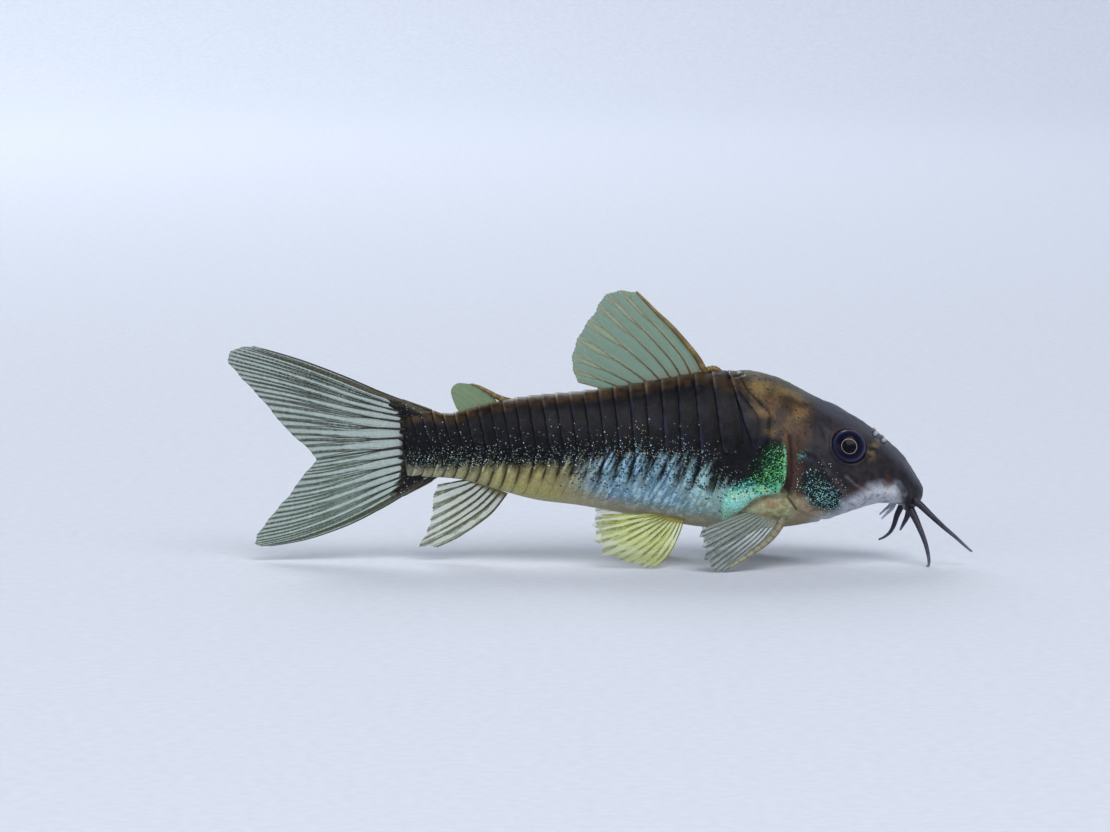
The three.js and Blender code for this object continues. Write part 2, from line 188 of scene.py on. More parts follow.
# %% Laying a sheet
def mark_layer(bm, name, values):
    colour = np.ndim(values) == 2
    layers = bm.verts.layers.float_color if colour else bm.verts.layers.float
    return layers.get(name) or layers.new(name)


def lay_sheet(bm, place, across, along):
    trial = np.array([0.4, 0.6])
    for name, values in place(trial, trial)[1].items():
        mark_layer(bm, name, values)
    grid = bmesh.ops.create_grid(bm, x_segments=along, y_segments=across, size=1)
    verts = grid["verts"]
    shares = np.array([(v.co.x, v.co.y) for v in verts]) * 0.5 + 0.5
    points, marks = place(np.clip(shares[:, 0], 0, 1), np.clip(shares[:, 1], 0, 1))
    for vert, point in zip(verts, points * MM):
        vert.co = point
    for name, values in marks.items():
        layer = mark_layer(bm, name, values)
        for vert, value in zip(verts, values.tolist()):
            vert[layer] = value
    return verts


def sew(bm, verts, reach=0.002):
    bmesh.ops.remove_doubles(bm, verts=verts, dist=reach * MM)


def finish_piece(name, bm, material, nodes=(), outward=True):
    if outward:
        bmesh.ops.recalc_face_normals(bm, faces=bm.faces)
    mesh = bpy.data.meshes.new(name)
    bm.to_mesh(mesh)
    bm.free()
    mesh.polygons.foreach_set("use_smooth", [True] * len(mesh.polygons))
    mesh.materials.append(material)
    piece = bpy.data.objects.new(name, mesh)
    bpy.context.scene.collection.objects.link(piece)
    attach(piece, "root")
    if nodes:
        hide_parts(*nodes)
    print(name, len(mesh.polygons), "faces")
    return piece


def smooth(value, low, high):
    t = np.clip((value - low) / (high - low), 0, 1)
    return t * t * (3 - 2 * t)


def mottle(points, size, seed=0.0):
    shift = Vector((seed, seed * 1.7, -seed))
    return np.array([noise.noise(Vector(p) / size + shift) for p in points.tolist()])


# %% [markdown]
# The markings are drawn on a side view of the fish, by its length and its height as the eye
# sees them from a little above. A line is a few corners joined up, and a patch is a closed
# outline with a soft edge. Skin and plates read the same map, so no colour jumps between.


# %% Lines and patches on the side view
VIEW_ANGLE = math.radians(6)
SLANT = math.sin(VIEW_ANGLE)


def side_view(points):
    return points[:, 0], points[:, 2] - SLANT * np.abs(points[:, 1])


def off_line(x, h, corners):
    best = np.full(len(x), 1e9)
    for (ax, ah), (bx, bh) in zip(corners[:-1], corners[1:]):
        dx, dh = bx - ax, bh - ah
        t = np.clip(((x - ax) * dx + (h - ah) * dh) / (dx * dx + dh * dh), 0, 1)
        best = np.minimum(best, np.hypot(x - ax - t * dx, h - ah - t * dh))
    return best


def patch(x, h, corners, soft):
    closed = [*corners, corners[0]]
    inside = np.zeros(len(x), bool)
    for (ax, ah), (bx, bh) in zip(closed[:-1], closed[1:]):
        crosses = (ah > h) != (bh > h)
        rise = bh - ah if bh != ah else 1e-9
        inside ^= crosses & (x < ax + (h - ah) * (bx - ax) / rise)
    signed = np.where(inside, 1, -1) * off_line(x, h, closed)
    return smooth(signed, -soft, soft)


def ridge(distance, width):
    return np.exp(-((distance / width) ** 2))


def moved(corners, along, up):
    return [(x + along, h + up) for x, h in corners]


GILL = [
    (17.9, 12.0), (18.15, 10.0), (18.1, 7.8), (17.75, 6.2), (18.6, 5.0), (20.4, 4.1),
    (22.4, 3.8),
]
CHEEK = [(19.9, 10.3), (20.7, 10.2), (21.4, 8.8), (22.8, 7.1), (23.4, 6.0), (24.2, 5.4)]
CHEEK_FOLD = [(23.3, 8.2), (24.2, 7.4), (25.4, 6.8)]
NAPE_SEAM = [(13.5, 17.6), (13.9, 16.6), (16.1, 14.2)]
SHIELD_SEAM = [(11.0, 17.7), (13.7, 17.9)]
MOUTH = [(28.2, 7.4), (28.65, 6.7), (28.85, 5.8), (28.8, 4.8)]
ARMOUR_FRONT = [
    (13.1, 18.6), (13.7, 16.7), (16.0, 14.0), (15.7, 11.5), (14.7, 10.2),
    (13.8, 8.5), (12.6, 7.5), (11.6, 6.3), (11.5, 3.0),
]
SHOULDER = [
    (17.0, 11.9), (17.65, 10.6), (17.6, 8.6), (17.4, 7.6), (16.85, 6.7), (15.3, 6.4),
    (14.4, 6.0), (13.7, 5.3), (12.4, 4.1), (11.6, 3.7), (11.6, 6.3), (12.8, 7.7),
    (13.95, 8.6), (14.7, 10.35), (15.7, 11.3),
]
SHOULDER_DARK = [(11.8, 7.3), (13.2, 8.3), (14.1, 9.2), (14.7, 10.4), (15.7, 11.5), (17.0, 12.0)]
OPERCLE = [
    (19.2, 8.5), (20.7, 9.1), (21.7, 8.0), (22.8, 6.6), (22.7, 5.3), (21.1, 5.1), (19.7, 6.2),
    (19.1, 7.4),
]
NAPE = [
    (13.0, 18.8), (16.0, 18.6), (19.2, 16.9), (20.3, 14.8), (19.5, 12.0), (18.8, 10.4),
    (18.6, 6.2), (17.9, 6.2), (17.9, 10.5), (16.4, 12.2), (15.6, 14.0), (13.8, 16.6),
]
CHIN = [
    (22.3, 4.8), (23.2, 5.9), (24.4, 6.5), (25.4, 7.1), (26.6, 7.35), (28.1, 7.3),
    (28.6, 6.5), (28.2, 3.0), (20.0, 3.0), (20.4, 4.2),
]
GILL_BROWN = [
    (17.9, 12.2), (19.4, 11.6), (19.0, 9.6), (18.8, 7.0), (20.2, 5.6), (19.0, 4.2),
    (17.9, 5.6), (18.0, 8.0),
]
FIN_BASE = [
    (12.2, 4.1), (13.8, 5.3), (15.0, 6.2), (16.6, 6.5), (18.0, 6.2), (18.2, 4.8),
    (17.2, 3.4), (12.4, 3.0),
]
BROWN_TOP = [(8.0, 18.2), (13.6, 18.9), (13.8, 16.7), (12.6, 16.2), (10.5, 17.0)]
UNDER_GILL = [(17.4, 6.2), (19.1, 6.2), (20.4, 5.2), (22.0, 4.9), (21.5, 3.6), (17.0, 3.0)]
EYE_X, EYE_Y, EYE_Z = 23.55, 4.0, 11.35
EYE_FACING = np.array([0.16, 0.9, 0.38]) / np.linalg.norm([0.16, 0.9, 0.38])
EYE_RADIUS = 1.64


def armour_front(h):
    xs, hs = zip(*ARMOUR_FRONT)
    return np.interp(h, hs[::-1], xs[::-1])


def eye_distance(points):
    away = points - np.array([EYE_X, 0, EYE_Z])
    away[:, 1] = np.abs(points[:, 1]) - EYE_Y
    out = away @ EYE_FACING
    return np.linalg.norm(away - out[:, None] * EYE_FACING, axis=1)


print("the shoulder patch is", round(SHOULDER[1][0] - SHOULDER[9][0], 1), "mm long")


# %% [markdown]
# Every tint is built up as a painter glazes: a ground colour, then one colour after another
# laid over it, each with a share from 0 to 1 at every point. Soft noise of three sizes
# breaks the edges, slanted noise makes streaks, and the marks hold what all tints look up.
# The drop lowers the pale flank's upper edge, so that it can end at its own height on a plate.

# %% Glazing and marks
DARK_TOP_X = (-18.5, -12.6, -7.2, -0.8, 2.1, 5.7, 8.3, 10.9, 11.8, 13)
DARK_TOP_H = (8.3, 8.8, 9.0, 9.25, 9.5, 9.75, 9.2, 8.35, 7.2, 6.5)
STREAK_WIDTH, STREAK_DEPTH, STREAK_TALL, STREAK_SLANT = 0.3, 1.2, 1.9, 0.5


def blend(ground, colour, share):
    ground, colour = (linear(c) if isinstance(c, str) else c for c in (ground, colour))
    return ground + (colour - ground) * np.clip(share, 0, 1)[:, None]


def glaze(ground, *layers):
    for colour, share in layers:
        ground = blend(ground, colour, share)
    return ground


def streaks(points, seed):
    slanted = points / (STREAK_WIDTH, STREAK_DEPTH, STREAK_TALL)
    slanted[:, 0] -= STREAK_SLANT * points[:, 2] / STREAK_WIDTH
    return mottle(slanted, 1.0, seed)


class Marks:
    def __init__(self, points, drop):
        self.points = points
        self.x, self.h = side_view(points)
        self.z = points[:, 2]
        self.small = mottle(points, 0.45, 3.0)
        self.broad = mottle(points, 1.8, 11.0)
        self.blotch = mottle(points, 0.95, 23.0)
        self.streak = streaks(points, 31.0)
        self.xj = self.x + 0.25 * self.small + 0.2 * self.broad
        self.hj = self.h + 0.2 * self.small + 0.2 * self.broad
        self.back = station(self.x, "back")
        self.belly = station(self.x, "belly")
        self.under = smooth(self.z, self.belly + 1.6, self.belly + 0.3)
        self.front = smooth(self.xj, -5.5, 2.0)
        self.dark_edge = np.interp(self.xj, DARK_TOP_X, DARK_TOP_H)
        reach = self.dark_edge + self.streak * (0.5 + 1.5 * self.front) - self.hj - drop
        ends = smooth(self.xj, -18.3, -16.8) * smooth(self.x, 13.2, 12.0)
        self.pale = smooth(reach, -0.6, 1.1) * ends
        deep = 2.0 + 1.0 * (1 - self.front)
        low = smooth(self.hj - self.belly, deep, deep - 1.8)
        self.low = low * smooth(self.x, 18.5, 16.5) * self.pale
        self.fin_base = patch(self.xj, self.hj, FIN_BASE, 0.8)
        shoulder = patch(self.x + 0.08 * self.small, self.h + 0.08 * self.small, SHOULDER, 0.12)
        bare = 1 - self.fin_base * smooth(self.h, 6.8, 5.8) * 0.9
        self.shoulder = np.minimum(shoulder, bare)
        self.lit = smooth(off_line(self.x, self.h, SHOULDER_DARK), 0.15, 2.6)
        nape_x = self.x + 0.9 * self.blotch + 0.3 * self.small
        self.nape = patch(nape_x, self.h + 0.5 * self.blotch, NAPE, 1.1)


print("the pale flank's share at mid-body", Marks(np.array([[0.0, -4, 8]]), 0).pale.round(2))

# %% [markdown]
# The flank is nearly black above, with gold along the ridge. Below it turns from gold near
# the tail to silver-blue at the front, in slanting streaks. Gold and silver are glazed on
# their own first, then laid over the dark ground, and the belly's warmer tints come last.


# %% Flank tints
def gold_tint(m):
    lit_top = smooth(m.h - m.dark_edge, -1.6, -0.2)
    return glaze(
        "#857a50",
        ("#a3995f", smooth(m.broad, -0.1, 0.5)),
        ("#5f5a3c", smooth(m.blotch, 0.15, 0.5) * 0.4),
        ("#b9b184", smooth(m.streak, 0.12, 0.45) * lit_top * 0.8),
    )


def silver_tint(m):
    shine = m.streak + 0.7 * m.small + 0.35 * m.blotch
    shade = smooth(m.h - m.dark_edge, -3.4, -0.6)
    return glaze(
        "#688a9a",
        ("#6297c0", smooth(m.blotch, -0.05, 0.4) * 0.45),
        ("#b4d0da", smooth(shine, -0.05, 0.55) * (0.85 - 0.45 * shade)),
        ("#26343b", smooth(-m.streak, 0.04, 0.4) * (0.3 + 0.5 * shade)),
        ("#93b8a6", smooth(m.x, 6, 11) * 0.5),
        ("#9a9a80", smooth(m.broad - m.small, 0.0, 0.7) * (1 - shade) * 0.5),
    )


def belly_tint(m):
    return glaze(
        "#918f7a",
        ("#ac9f78", smooth(m.blotch + m.small, -0.1, 0.6)),
        ("#a58877", smooth(m.broad - m.blotch, 0.1, 0.7) * 0.6),
    )


def flank_tint(m):
    above = smooth(m.h - m.dark_edge, 0.6, 2.6)
    keel = smooth(m.hj - m.belly, 1.7, 0.5) * smooth(m.x, -12, -8) * m.pale
    ridge_top = smooth(m.z, m.back - 1.3, m.back - 0.2) * smooth(m.x, 14, 9)
    crest = smooth(m.z, m.back - 0.25, m.back - 0.03)
    return glaze(
        "#0b0b0f",
        ("#14151f", smooth(m.broad + m.blotch, -0.2, 0.6) * smooth(m.x, -14, 6)),
        ("#252430", smooth(m.small - m.broad, 0.1, 0.8) * above * 0.3),
        (blend(gold_tint(m), silver_tint(m), m.front), m.pale),
        ("#9c9668", m.low * (1 - m.front) * 0.8),
        ("#a9a455", keel * (1 - m.front) * 0.8),
        (belly_tint(m), m.low * m.front * 0.9),
        ("#a39c80", m.under * smooth(m.x, 18, 10) * 0.6),
        ("#46341f", ridge_top * (0.6 + 0.5 * (m.small + m.blotch))),
        ("#77715a", crest * smooth(m.x, 6, -2) * 0.5),
        ("#3b2d20", patch(m.xj, m.hj, BROWN_TOP, 0.7) * 0.8),
    )


print("tint on the flank", flank_tint(Marks(np.array([[0.0, -4, 12]]), 0)).round(3))

# %% [markdown]
# The head is violet-brown with ochre in front of the eye, and the nape behind it is rust
# and gold with dark clouds. The shoulder bone is black at its upper edge and opens downwards
# through deep green to a pale sea green. The pectoral fin's fleshy root is cream and olive.

# %% Head, nape and shoulder tints
CHEEK_RUST = [(22.9, 7.2), (27.3, 7.9)]
EYE_OCHRE = [(25.6, 10.2), (26.6, 11.9), (27.6, 11.3)]
SHOULDER_RIM = [(17.35, 11.2), (17.55, 10.2), (17.45, 7.8), (16.8, 6.8)]
SHOULDER_PALE = [(12.6, 6.3), (15.6, 6.8)]
ROOT_FOLD = [(13.8, 5.2), (15.4, 6.1), (17.2, 6.3)]
ROOT_BLUSH = (16.0, 5.2)


def head_tint(m):
    rust = ridge(off_line(m.x, m.h, CHEEK_RUST), 0.9)
    ochre = ridge(off_line(m.x, m.h, EYE_OCHRE), 0.45)
    return glaze(
        "#211f26",
        ("#2c282b", smooth(m.broad, -0.1, 0.5)),
        ("#131217", smooth(-m.small - m.blotch, 0.0, 0.8) * 0.55),
        ("#432c22", rust * smooth(m.small + m.blotch, -0.2, 0.6) * 0.55),
        ("#6b5a38", ochre * smooth(m.small, -0.2, 0.35) * 0.8),
        # Painted sheen: the top of the head turns paler blue-grey, as though lit from above
        ("#50545f", smooth(m.z, m.back - 1.8, m.back - 0.1) * 0.65),
    )


def nape_tint(m):
    fine = mottle(m.points, 0.22, 61.0)
    warm = m.broad + 0.5 * m.blotch + 0.3 * fine
    return glaze(
        "#403427",
        ("#786542", smooth(warm, -0.25, 0.7)),
        ("#6f4a2f", smooth(m.blotch + fine, -0.1, 0.7) * smooth(m.h, 17.2, 13.5) * 0.7),
        ("#2f251e", smooth(-warm, 0.05, 0.65) * 0.7),
        ("#62645b", smooth(m.z, m.back - 1.0, m.back - 0.1) * 0.6),
        ("#3d2b23", smooth(m.h, 13.2, 10.8) * 0.75),
    )


def shoulder_tint(m):
    pale_line = ridge(off_line(m.x, m.h, SHOULDER_PALE), 0.45)
    return glaze(
        "#0c0e10",
        ("#1b4a3a", m.lit),
        ("#4d9c8c", smooth(7.9 - m.h + 0.5 * m.small, 0.0, 1.0) * smooth(m.lit, 0, 0.3)),
        ("#8fc9bc", smooth(6.9 - m.h + 0.5 * m.streak, -0.1, 1.0)),
        ("#b5cf9c", pale_line * smooth(m.small + m.broad, -0.5, 0.4) * 0.7),
        ("#a7b98a", smooth(5.2 - m.h, -0.4, 0.8) * 0.5),
        ("#86b894", ridge(off_line(m.x, m.h, SHOULDER_RIM), 0.13) * 0.8),
    )


def fin_base_tint(m):
    blush = ridge(np.hypot(m.x - ROOT_BLUSH[0], m.h - ROOT_BLUSH[1]), 1.1)
    return glaze(
        "#b2b892",
        ("#8f9160", smooth(m.broad + m.small, -0.2, 0.6)),
        ("#ab8a68", blush * (0.5 + m.small)),
        ("#5a5640", ridge(off_line(m.x, m.h, ROOT_FOLD), 0.3) * 0.6),
    )


print("tint on the nape", nape_tint(Marks(np.array([[18.0, -4, 16]]), 0)).round(3))

# %% [markdown]
# One map gathers the tints and adds the seams, the chin and the lid. Glitter and dark flecks
# have a colour or a density of their own in it, which the materials scatter as fine dots.
# Where two kinds of glitter overlap, the denser one gives the colour.

# %% The colour map
LID_GAP = 0.24


def all_tints(m):
    chin = patch(m.x + 0.25 * m.small, m.h + 0.3 * m.blotch, CHIN, 0.7)
    throat = m.under * smooth(m.x, 19.5, 21) * smooth(m.x, 28.8, 28)
    white = blend("#b0b4bd", "#8f8987", smooth(m.blotch + m.small, 0.0, 0.8))
    lid = ridge(eye_distance(m.points) - EYE_RADIUS - LID_GAP, 0.07)
    tint = glaze(
        flank_tint(m),
        (head_tint(m), smooth(m.xj, 17.2, 19.8)),
        (nape_tint(m), m.nape * 0.95),
        ("#432f28", patch(m.xj, m.hj, GILL_BROWN, 0.45) * (0.65 + 0.5 * m.small)),
        ("#94856a", patch(m.xj, m.hj, UNDER_GILL, 0.6) * 0.9),
        (white, np.maximum(chin, throat)),
        (fin_base_tint(m), m.fin_base * 0.9),
        (shoulder_tint(m), m.shoulder),
        ("#12191e", patch(m.x + 0.15 * m.small, m.h + 0.15 * m.small, OPERCLE, 0.4) * 0.9),
        ("#1c1211", ridge(off_line(m.x, m.h, GILL[:5]), 0.1) * 0.8),
        ("#120e0e", ridge(off_line(m.x, m.h, NAPE_SEAM), 0.1) * 0.8),
        ("#0d0b0c", ridge(off_line(m.x, m.h, SHIELD_SEAM), 0.12) * 0.8),
        ("#7d7277", ridge(off_line(m.x, m.h, CHEEK_FOLD), 0.13) * 0.4),
        ("#5b4f55", ridge(off_line(m.x, m.h, CHEEK[1:]), 0.2) * smooth(m.small, -0.4, 0.2) * 0.4),
        ("#5b4a44", lid * smooth(m.h, 11.2, 12.6) * 0.5),
    )
    return np.column_stack([np.clip(tint, 0, 1), np.ones(len(m.x))])


# Painted glints: the colour and density of the crystals' glints over the hide
def glitter(m):
    above = m.hj - m.dark_edge
    fading = smooth(above, 2.6, 0.5) + 0.25 * smooth(above, 5.0, 1.5)
    band = smooth(above, -0.9, 0.3) * fading * smooth(m.x, 15, 10)
    gill_dots = patch(m.x + 0.4 * m.blotch, m.h + 0.4 * m.blotch, OPERCLE, 1.3)
    behind_cheek = ridge(off_line(m.x, m.h, [(18.9, 10.0), (19.1, 10.2)]), 0.45)
    under_cheek = ridge(off_line(m.x, m.h, [(22.4, 5.4), (23.0, 5.9)]), 0.4)
    layers = (
        ("#8c9c84", band * (0.15 + 0.12 * smooth(m.x, -8, -14))),
        ("#a6c4d2", m.pale * m.front * (1 - m.low) * smooth(m.x, 12, 10) * 0.06),
        ("#6cbf62", m.shoulder * (0.06 + 0.72 * m.lit**1.2) * smooth(m.h, 6.0, 7.0)),
        ("#7fd8c0", m.shoulder * smooth(8.4 - m.h + 0.6 * m.small, 0.0, 1.4) * 0.6),
        ("#8cc8b8", gill_dots * (0.14 + 0.5 * smooth(8.4 - m.h, 0, 2.8))),
        ("#4f9f90", behind_cheek * 0.35),
        ("#6f9f9c", under_cheek * 0.3),
    )
    glint = np.zeros((len(m.x), 4))
    for colour, density in layers:
        stronger = density > glint[:, 3]
        glint[stronger, :3] = linear(colour)
        glint[stronger, 3] = density[stronger]
    return glint


def dark_flecks(m):
    top = smooth(m.dark_edge - m.hj, 3.4, 0.2) * smooth(m.x, 12.4, 11.0)
    flank = m.pale * m.front * top * 0.5
    shoulder = m.shoulder * smooth(m.h, 5.6, 7.6) * 0.5
    return np.maximum(np.maximum(flank, shoulder), m.nape * 0.04)


def colour_map(points, drop=0.0):
    m = Marks(points, drop)
    return {"tint": all_tints(m), "glint": glitter(m), "fleck": dark_flecks(m)}


print("glitter on the shoulder", colour_map(np.array([[16.0, -5, 9]]))["glint"].round(3))

# %% [markdown]
# Wet hide is thin skin under a coat of slime, so it is dark, fairly smooth and glossy. Its
# glitter is crystals about a tenth of a millimetre wide: cells of a Voronoi pattern light up
# where the map says so, partly as real metal reflection and partly as painted glints, whose
# colour can go well above white. Other cells go dark, as pigment does. They are drawn nearly
# twice as wide as real pigment cells, because at their true size they would blur into a grey.

# %% Glitter and pigment
CRYSTAL = 0.088 * MM
PIGMENT_CELL = 0.19 * MM  # coarser than the real tenth of a millimetre, so that it shows
SKIN_GRAIN = 0.22 * MM  # about ten real skin cells wide, because one is too fine to show
# Painted glints: these tints multiply the glint colour, up to more than twice white
GLITTER_HUES = (
    (0.0, (1.4, 1.15, 0.6)), (0.35, (1, 1, 1)), (0.7, (0.75, 1.05, 1.5)), (0.95, (2.2, 1.6, 2.2)),
)


def hide_colour(tree, place, grain):
    tint = add(tree, "Attribute", attribute_name="tint").outputs["Color"]
    glint = add(tree, "Attribute", attribute_name="glint")
    fleck = add(tree, "Attribute", attribute_name="fleck").outputs["Fac"]
    cells = add(tree, "TexVoronoi", {"Vector": place, "Scale": 1 / CRYSTAL})
    pick = add(tree, "SeparateColor", {"Color": cells.outputs["Color"]})
    disc = add(tree, "MapRange", (cells.outputs["Distance"], 0.62, 0.32))

    pigment = add(tree, "TexVoronoi", {"Vector": place, "Scale": 1 / PIGMENT_CELL})
    chance = add(tree, "SeparateColor", {"Color": pigment.outputs["Color"]})
    dim = add(tree, "Math", (chance, fleck), operation="LESS_THAN")
    blot = add(tree, "MapRange", (pigment, 0.75, 0.4))
    speck = add(tree, "Math", (dim, blot), operation="MULTIPLY")
    shadow = add(tree, "MapRange", (speck, 0.0, 1.0, 1.0, 0.14))
    lit = add(tree, "Math", (pick, glint.outputs["Alpha"]), operation="LESS_THAN")
    whole = add(tree, "Math", (lit, disc), operation="MULTIPLY")
    spark = add(tree, "Math", (whole, speck), operation="SUBTRACT", use_clamp=True)

    shade = add(tree, "MapRange", (grain, 0.3, 0.7, 0.78, 1.22))
    shaded = add(tree, "Math", (shade, shadow), operation="MULTIPLY")
    grained = add(tree, "VectorMath", (tint, shaded), operation="MULTIPLY")
    level = add(tree, "MapRange", (pick.outputs["Green"], 0.0, 1.0, 0.2, 1.6))
    hue = ramp(tree, pick.outputs["Blue"], GLITTER_HUES)
    varied = add(tree, "VectorMath", (glint.outputs["Color"], hue), operation="MULTIPLY")
    painted_glint = add(tree, "VectorMath", (varied, level), operation="MULTIPLY")
    mixed = add(tree, "Mix", {0: spark, 6: grained, 7: painted_glint}, data_type="RGBA")
    return mixed.outputs[2], spark


print("crystals are drawn", round(CRYSTAL / MM, 3), "mm wide, pigment", round(PIGMENT_CELL / MM, 2))

# %% [markdown]
# A bone plate is seen through the same skin. A painted highlight lies near its free rear edge,
# bluish and brighter than white over the dark flank, and a painted shadow lies on the strip
# behind the next plate's edge, more clearly in some places than in others. Two ramps along the
# plate give this painted light and shade, one over dark flank and one over pale flank.

# %% Plates under the skin
EDGE_SHADE_PATCH = 1.3 * MM
# Painted shadow where a plate comes out from under the one in front, a painted highlight near its
# rear edge, darker again at the very edge
PLATE_ON_DARK = (
    (0.0, (0.2, 0.2, 0.2)), (0.30, (0.22, 0.22, 0.24)), (0.40, (0.9, 0.9, 0.9)),
    (0.80, (1, 1, 1)), (0.93, (3.0, 3.4, 4.1)), (1.0, (0.4, 0.4, 0.4)),
)
PLATE_ON_PALE = (
    (0.0, (0.08, 0.08, 0.07)), (0.30, (0.16, 0.15, 0.12)), (0.44, (0.85, 0.85, 0.85)),
    (0.62, (1.2, 1.2, 1.2)), (0.9, (0.9, 0.9, 0.9)), (1.0, (0.4, 0.38, 0.36)),
)
UNSHADED = (1, 1, 1, 1)


def plate_shade(tree, place):
    run, pale, line = (
        add(tree, "Attribute", attribute_name="plate_" + mark).outputs["Fac"]
        for mark in ("run", "pale", "line")
    )
    # Patches where the painted shade and highlight on the plates show more or less strongly
    edge_shade_noise = add(tree, "TexNoise", {"Vector": place, "Scale": 1 / EDGE_SHADE_PATCH, "Detail": 2.0})
    edge_shade_share = add(tree, "MapRange", (edge_shade_noise, 0.38, 0.62, 0.3, 1.0))
    on_dark = ramp(tree, run, PLATE_ON_DARK)
    on_pale = ramp(tree, run, PLATE_ON_PALE)
    dark = add(tree, "Mix", {0: edge_shade_share, 6: UNSHADED, 7: on_dark}, data_type="RGBA").outputs[2]
    light = add(tree, "Mix", {0: line, 6: UNSHADED, 7: on_pale}, data_type="RGBA").outputs[2]
    return add(tree, "Mix", {0: pale, 6: dark, 7: light}, data_type="RGBA").outputs[2]


def wet_hide(name, pore, bump, rough, plates=False):
    material, tree = start_material(name)
    place = add(tree, "TexCoord").outputs["Object"]
    grain = add(tree, "TexNoise", {"Vector": place, "Scale": 1 / SKIN_GRAIN, "Detail": 4.0})
    colour, spark = hide_colour(tree, place, grain)
    if plates:
        shade = plate_shade(tree, place)
        colour = add(tree, "VectorMath", (colour, shade), operation="MULTIPLY")
    pores = add(tree, "TexVoronoi", {"Vector": place, "Scale": 1 / (pore * MM)})
    relief = add(tree, "Math", (pores, grain), operation="ADD")
    normal = add(tree, "Bump", {"Height": relief, "Strength": bump, "Distance": 0.05 * MM})
    gloss = add(tree, "MapRange", (grain, 0.3, 0.7, rough - 0.08, rough + 0.1))
    metal = add(tree, "Math", (spark, 0.45), operation="MULTIPLY")
    return finish_material(material, {
        "Base Color": colour, "Roughness": gloss, "Metallic": metal, "Normal": normal,
        "IOR": 1.36, "Specular IOR Level": 0.2,
    })


head_hide = wet_hide("wet_fish_skin", pore=0.13, bump=0.16, rough=0.4)
plate_hide = wet_hide("enamelled_bone_plate", pore=0.11, bump=0.3, rough=0.38, plates=True)
print("made", head_hide.name, "and", plate_hide.name)

# %% [markdown]
# One skin covers the head, trunk and tail stalk. Over the trunk it lies a little inside the
# body's outline, and the bone plates make up the difference. On the head it carries the
# gill slit, the folds of the cheek, the mouth, the nostril pits and a socket for each eye.

# %% The skin
PLATE_DEPTH = 0.16
HEAD_START, SNOUT_START = 11.0, 27.6
SKIN_ROWS = np.concatenate([
    np.linspace(TAIL_X, HEAD_START, 120, endpoint=False),
    np.linspace(HEAD_START, SNOUT_START, 150, endpoint=False),
    SNOUT_START + (SNOUT_X - SNOUT_START) * np.sin(np.linspace(0, np.pi / 2, 48)),
])
SKIN_SIDES = 224
NOSTRILS = ((26.15, 12.1), (26.95, 11.5))


def skin_relief(points):
    x, h = side_view(points)
    bare = smooth(x - armour_front(h), -0.1, 0.35)
    lift = -PLATE_DEPTH * (1 - bare) - 0.02 * bare
    flank = smooth(np.abs(points[:, 1]), 0.4, 1.2)
    lift -= 0.22 * ridge(off_line(x, h, GILL), 0.12) * flank
    lift += 0.10 * ridge(off_line(x, h, moved(GILL, 0.42, 0)), 0.35) * flank
    lift += 0.12 * ridge(off_line(x, h, CHEEK), 0.26)
    lift -= 0.13 * ridge(off_line(x, h, moved(CHEEK, -0.42, -0.2)), 0.2)
    lift -= 0.12 * ridge(off_line(x, h, CHEEK_FOLD), 0.16)
    lift += 0.12 * ridge(off_line(x, h, moved(CHEEK_FOLD, 0, 0.35)), 0.28)
    lift -= 0.14 * ridge(off_line(x, h, NAPE_SEAM), 0.09)
    lift -= 0.14 * ridge(off_line(x, h, SHIELD_SEAM), 0.09)
    lift += 0.12 * patch(x, h, OPERCLE, 0.5)
    lift += 0.10 * patch(x, h, SHOULDER, 0.15)
    lift -= 0.22 * ridge(off_line(x, h, MOUTH), 0.14)
    lift += 0.22 * ridge(off_line(x, h, moved(MOUTH, 0.5, 0)), 0.35)
    for nx, nh in NOSTRILS:
        away = np.hypot(x - nx, h - nh)
        lift += flank * (0.1 * ridge(away - 0.3, 0.12) - 0.35 * ridge(away, 0.2))
    lift += 0.05 * mottle(points, 0.7, 5.0) * bare + 0.08 * mottle(points, 2.2, 8.0) * bare
    eye = eye_distance(points)
    lift += 0.16 * ridge(eye - EYE_RADIUS - 0.22, 0.16)
    lift -= 1.0 * smooth(eye, EYE_RADIUS + 0.12, EYE_RADIUS - 0.12)
    return lift


def skin_place(along, around):
    x = np.interp(along, np.linspace(0, 1, len(SKIN_ROWS)), SKIN_ROWS)
    turn = around - 0.25
    base = body_point(turn, x)
    normal = body_normal(turn, x)
    points = base + normal * skin_relief(base)[:, None]
    for end, z in ((0, TAIL_Z), (1, SNOUT_Z)):
        points[along == end] = (TAIL_X if end == 0 else SNOUT_X - 0.03, 0, z)
    around_seam = (around == 0) | (around == 1)
    points[around_seam, 1] = 0
    return points, colour_map(base)


bm = bmesh.new()
verts = lay_sheet(bm, skin_place, SKIN_SIDES, len(SKIN_ROWS) - 1)
sew(bm, verts)
finish_piece("skin", bm, head_hide, ("head", "trunk", "tail_stalk"))

# %% [markdown]
# The armour is two rows of tall plates on each side, meeting in a zigzag along the middle
# of the flank. Each plate is hooked under the one in front, so its rear edge stands proud
# and catches the light. A plate is one small sheet laid on the body, given its thickness.

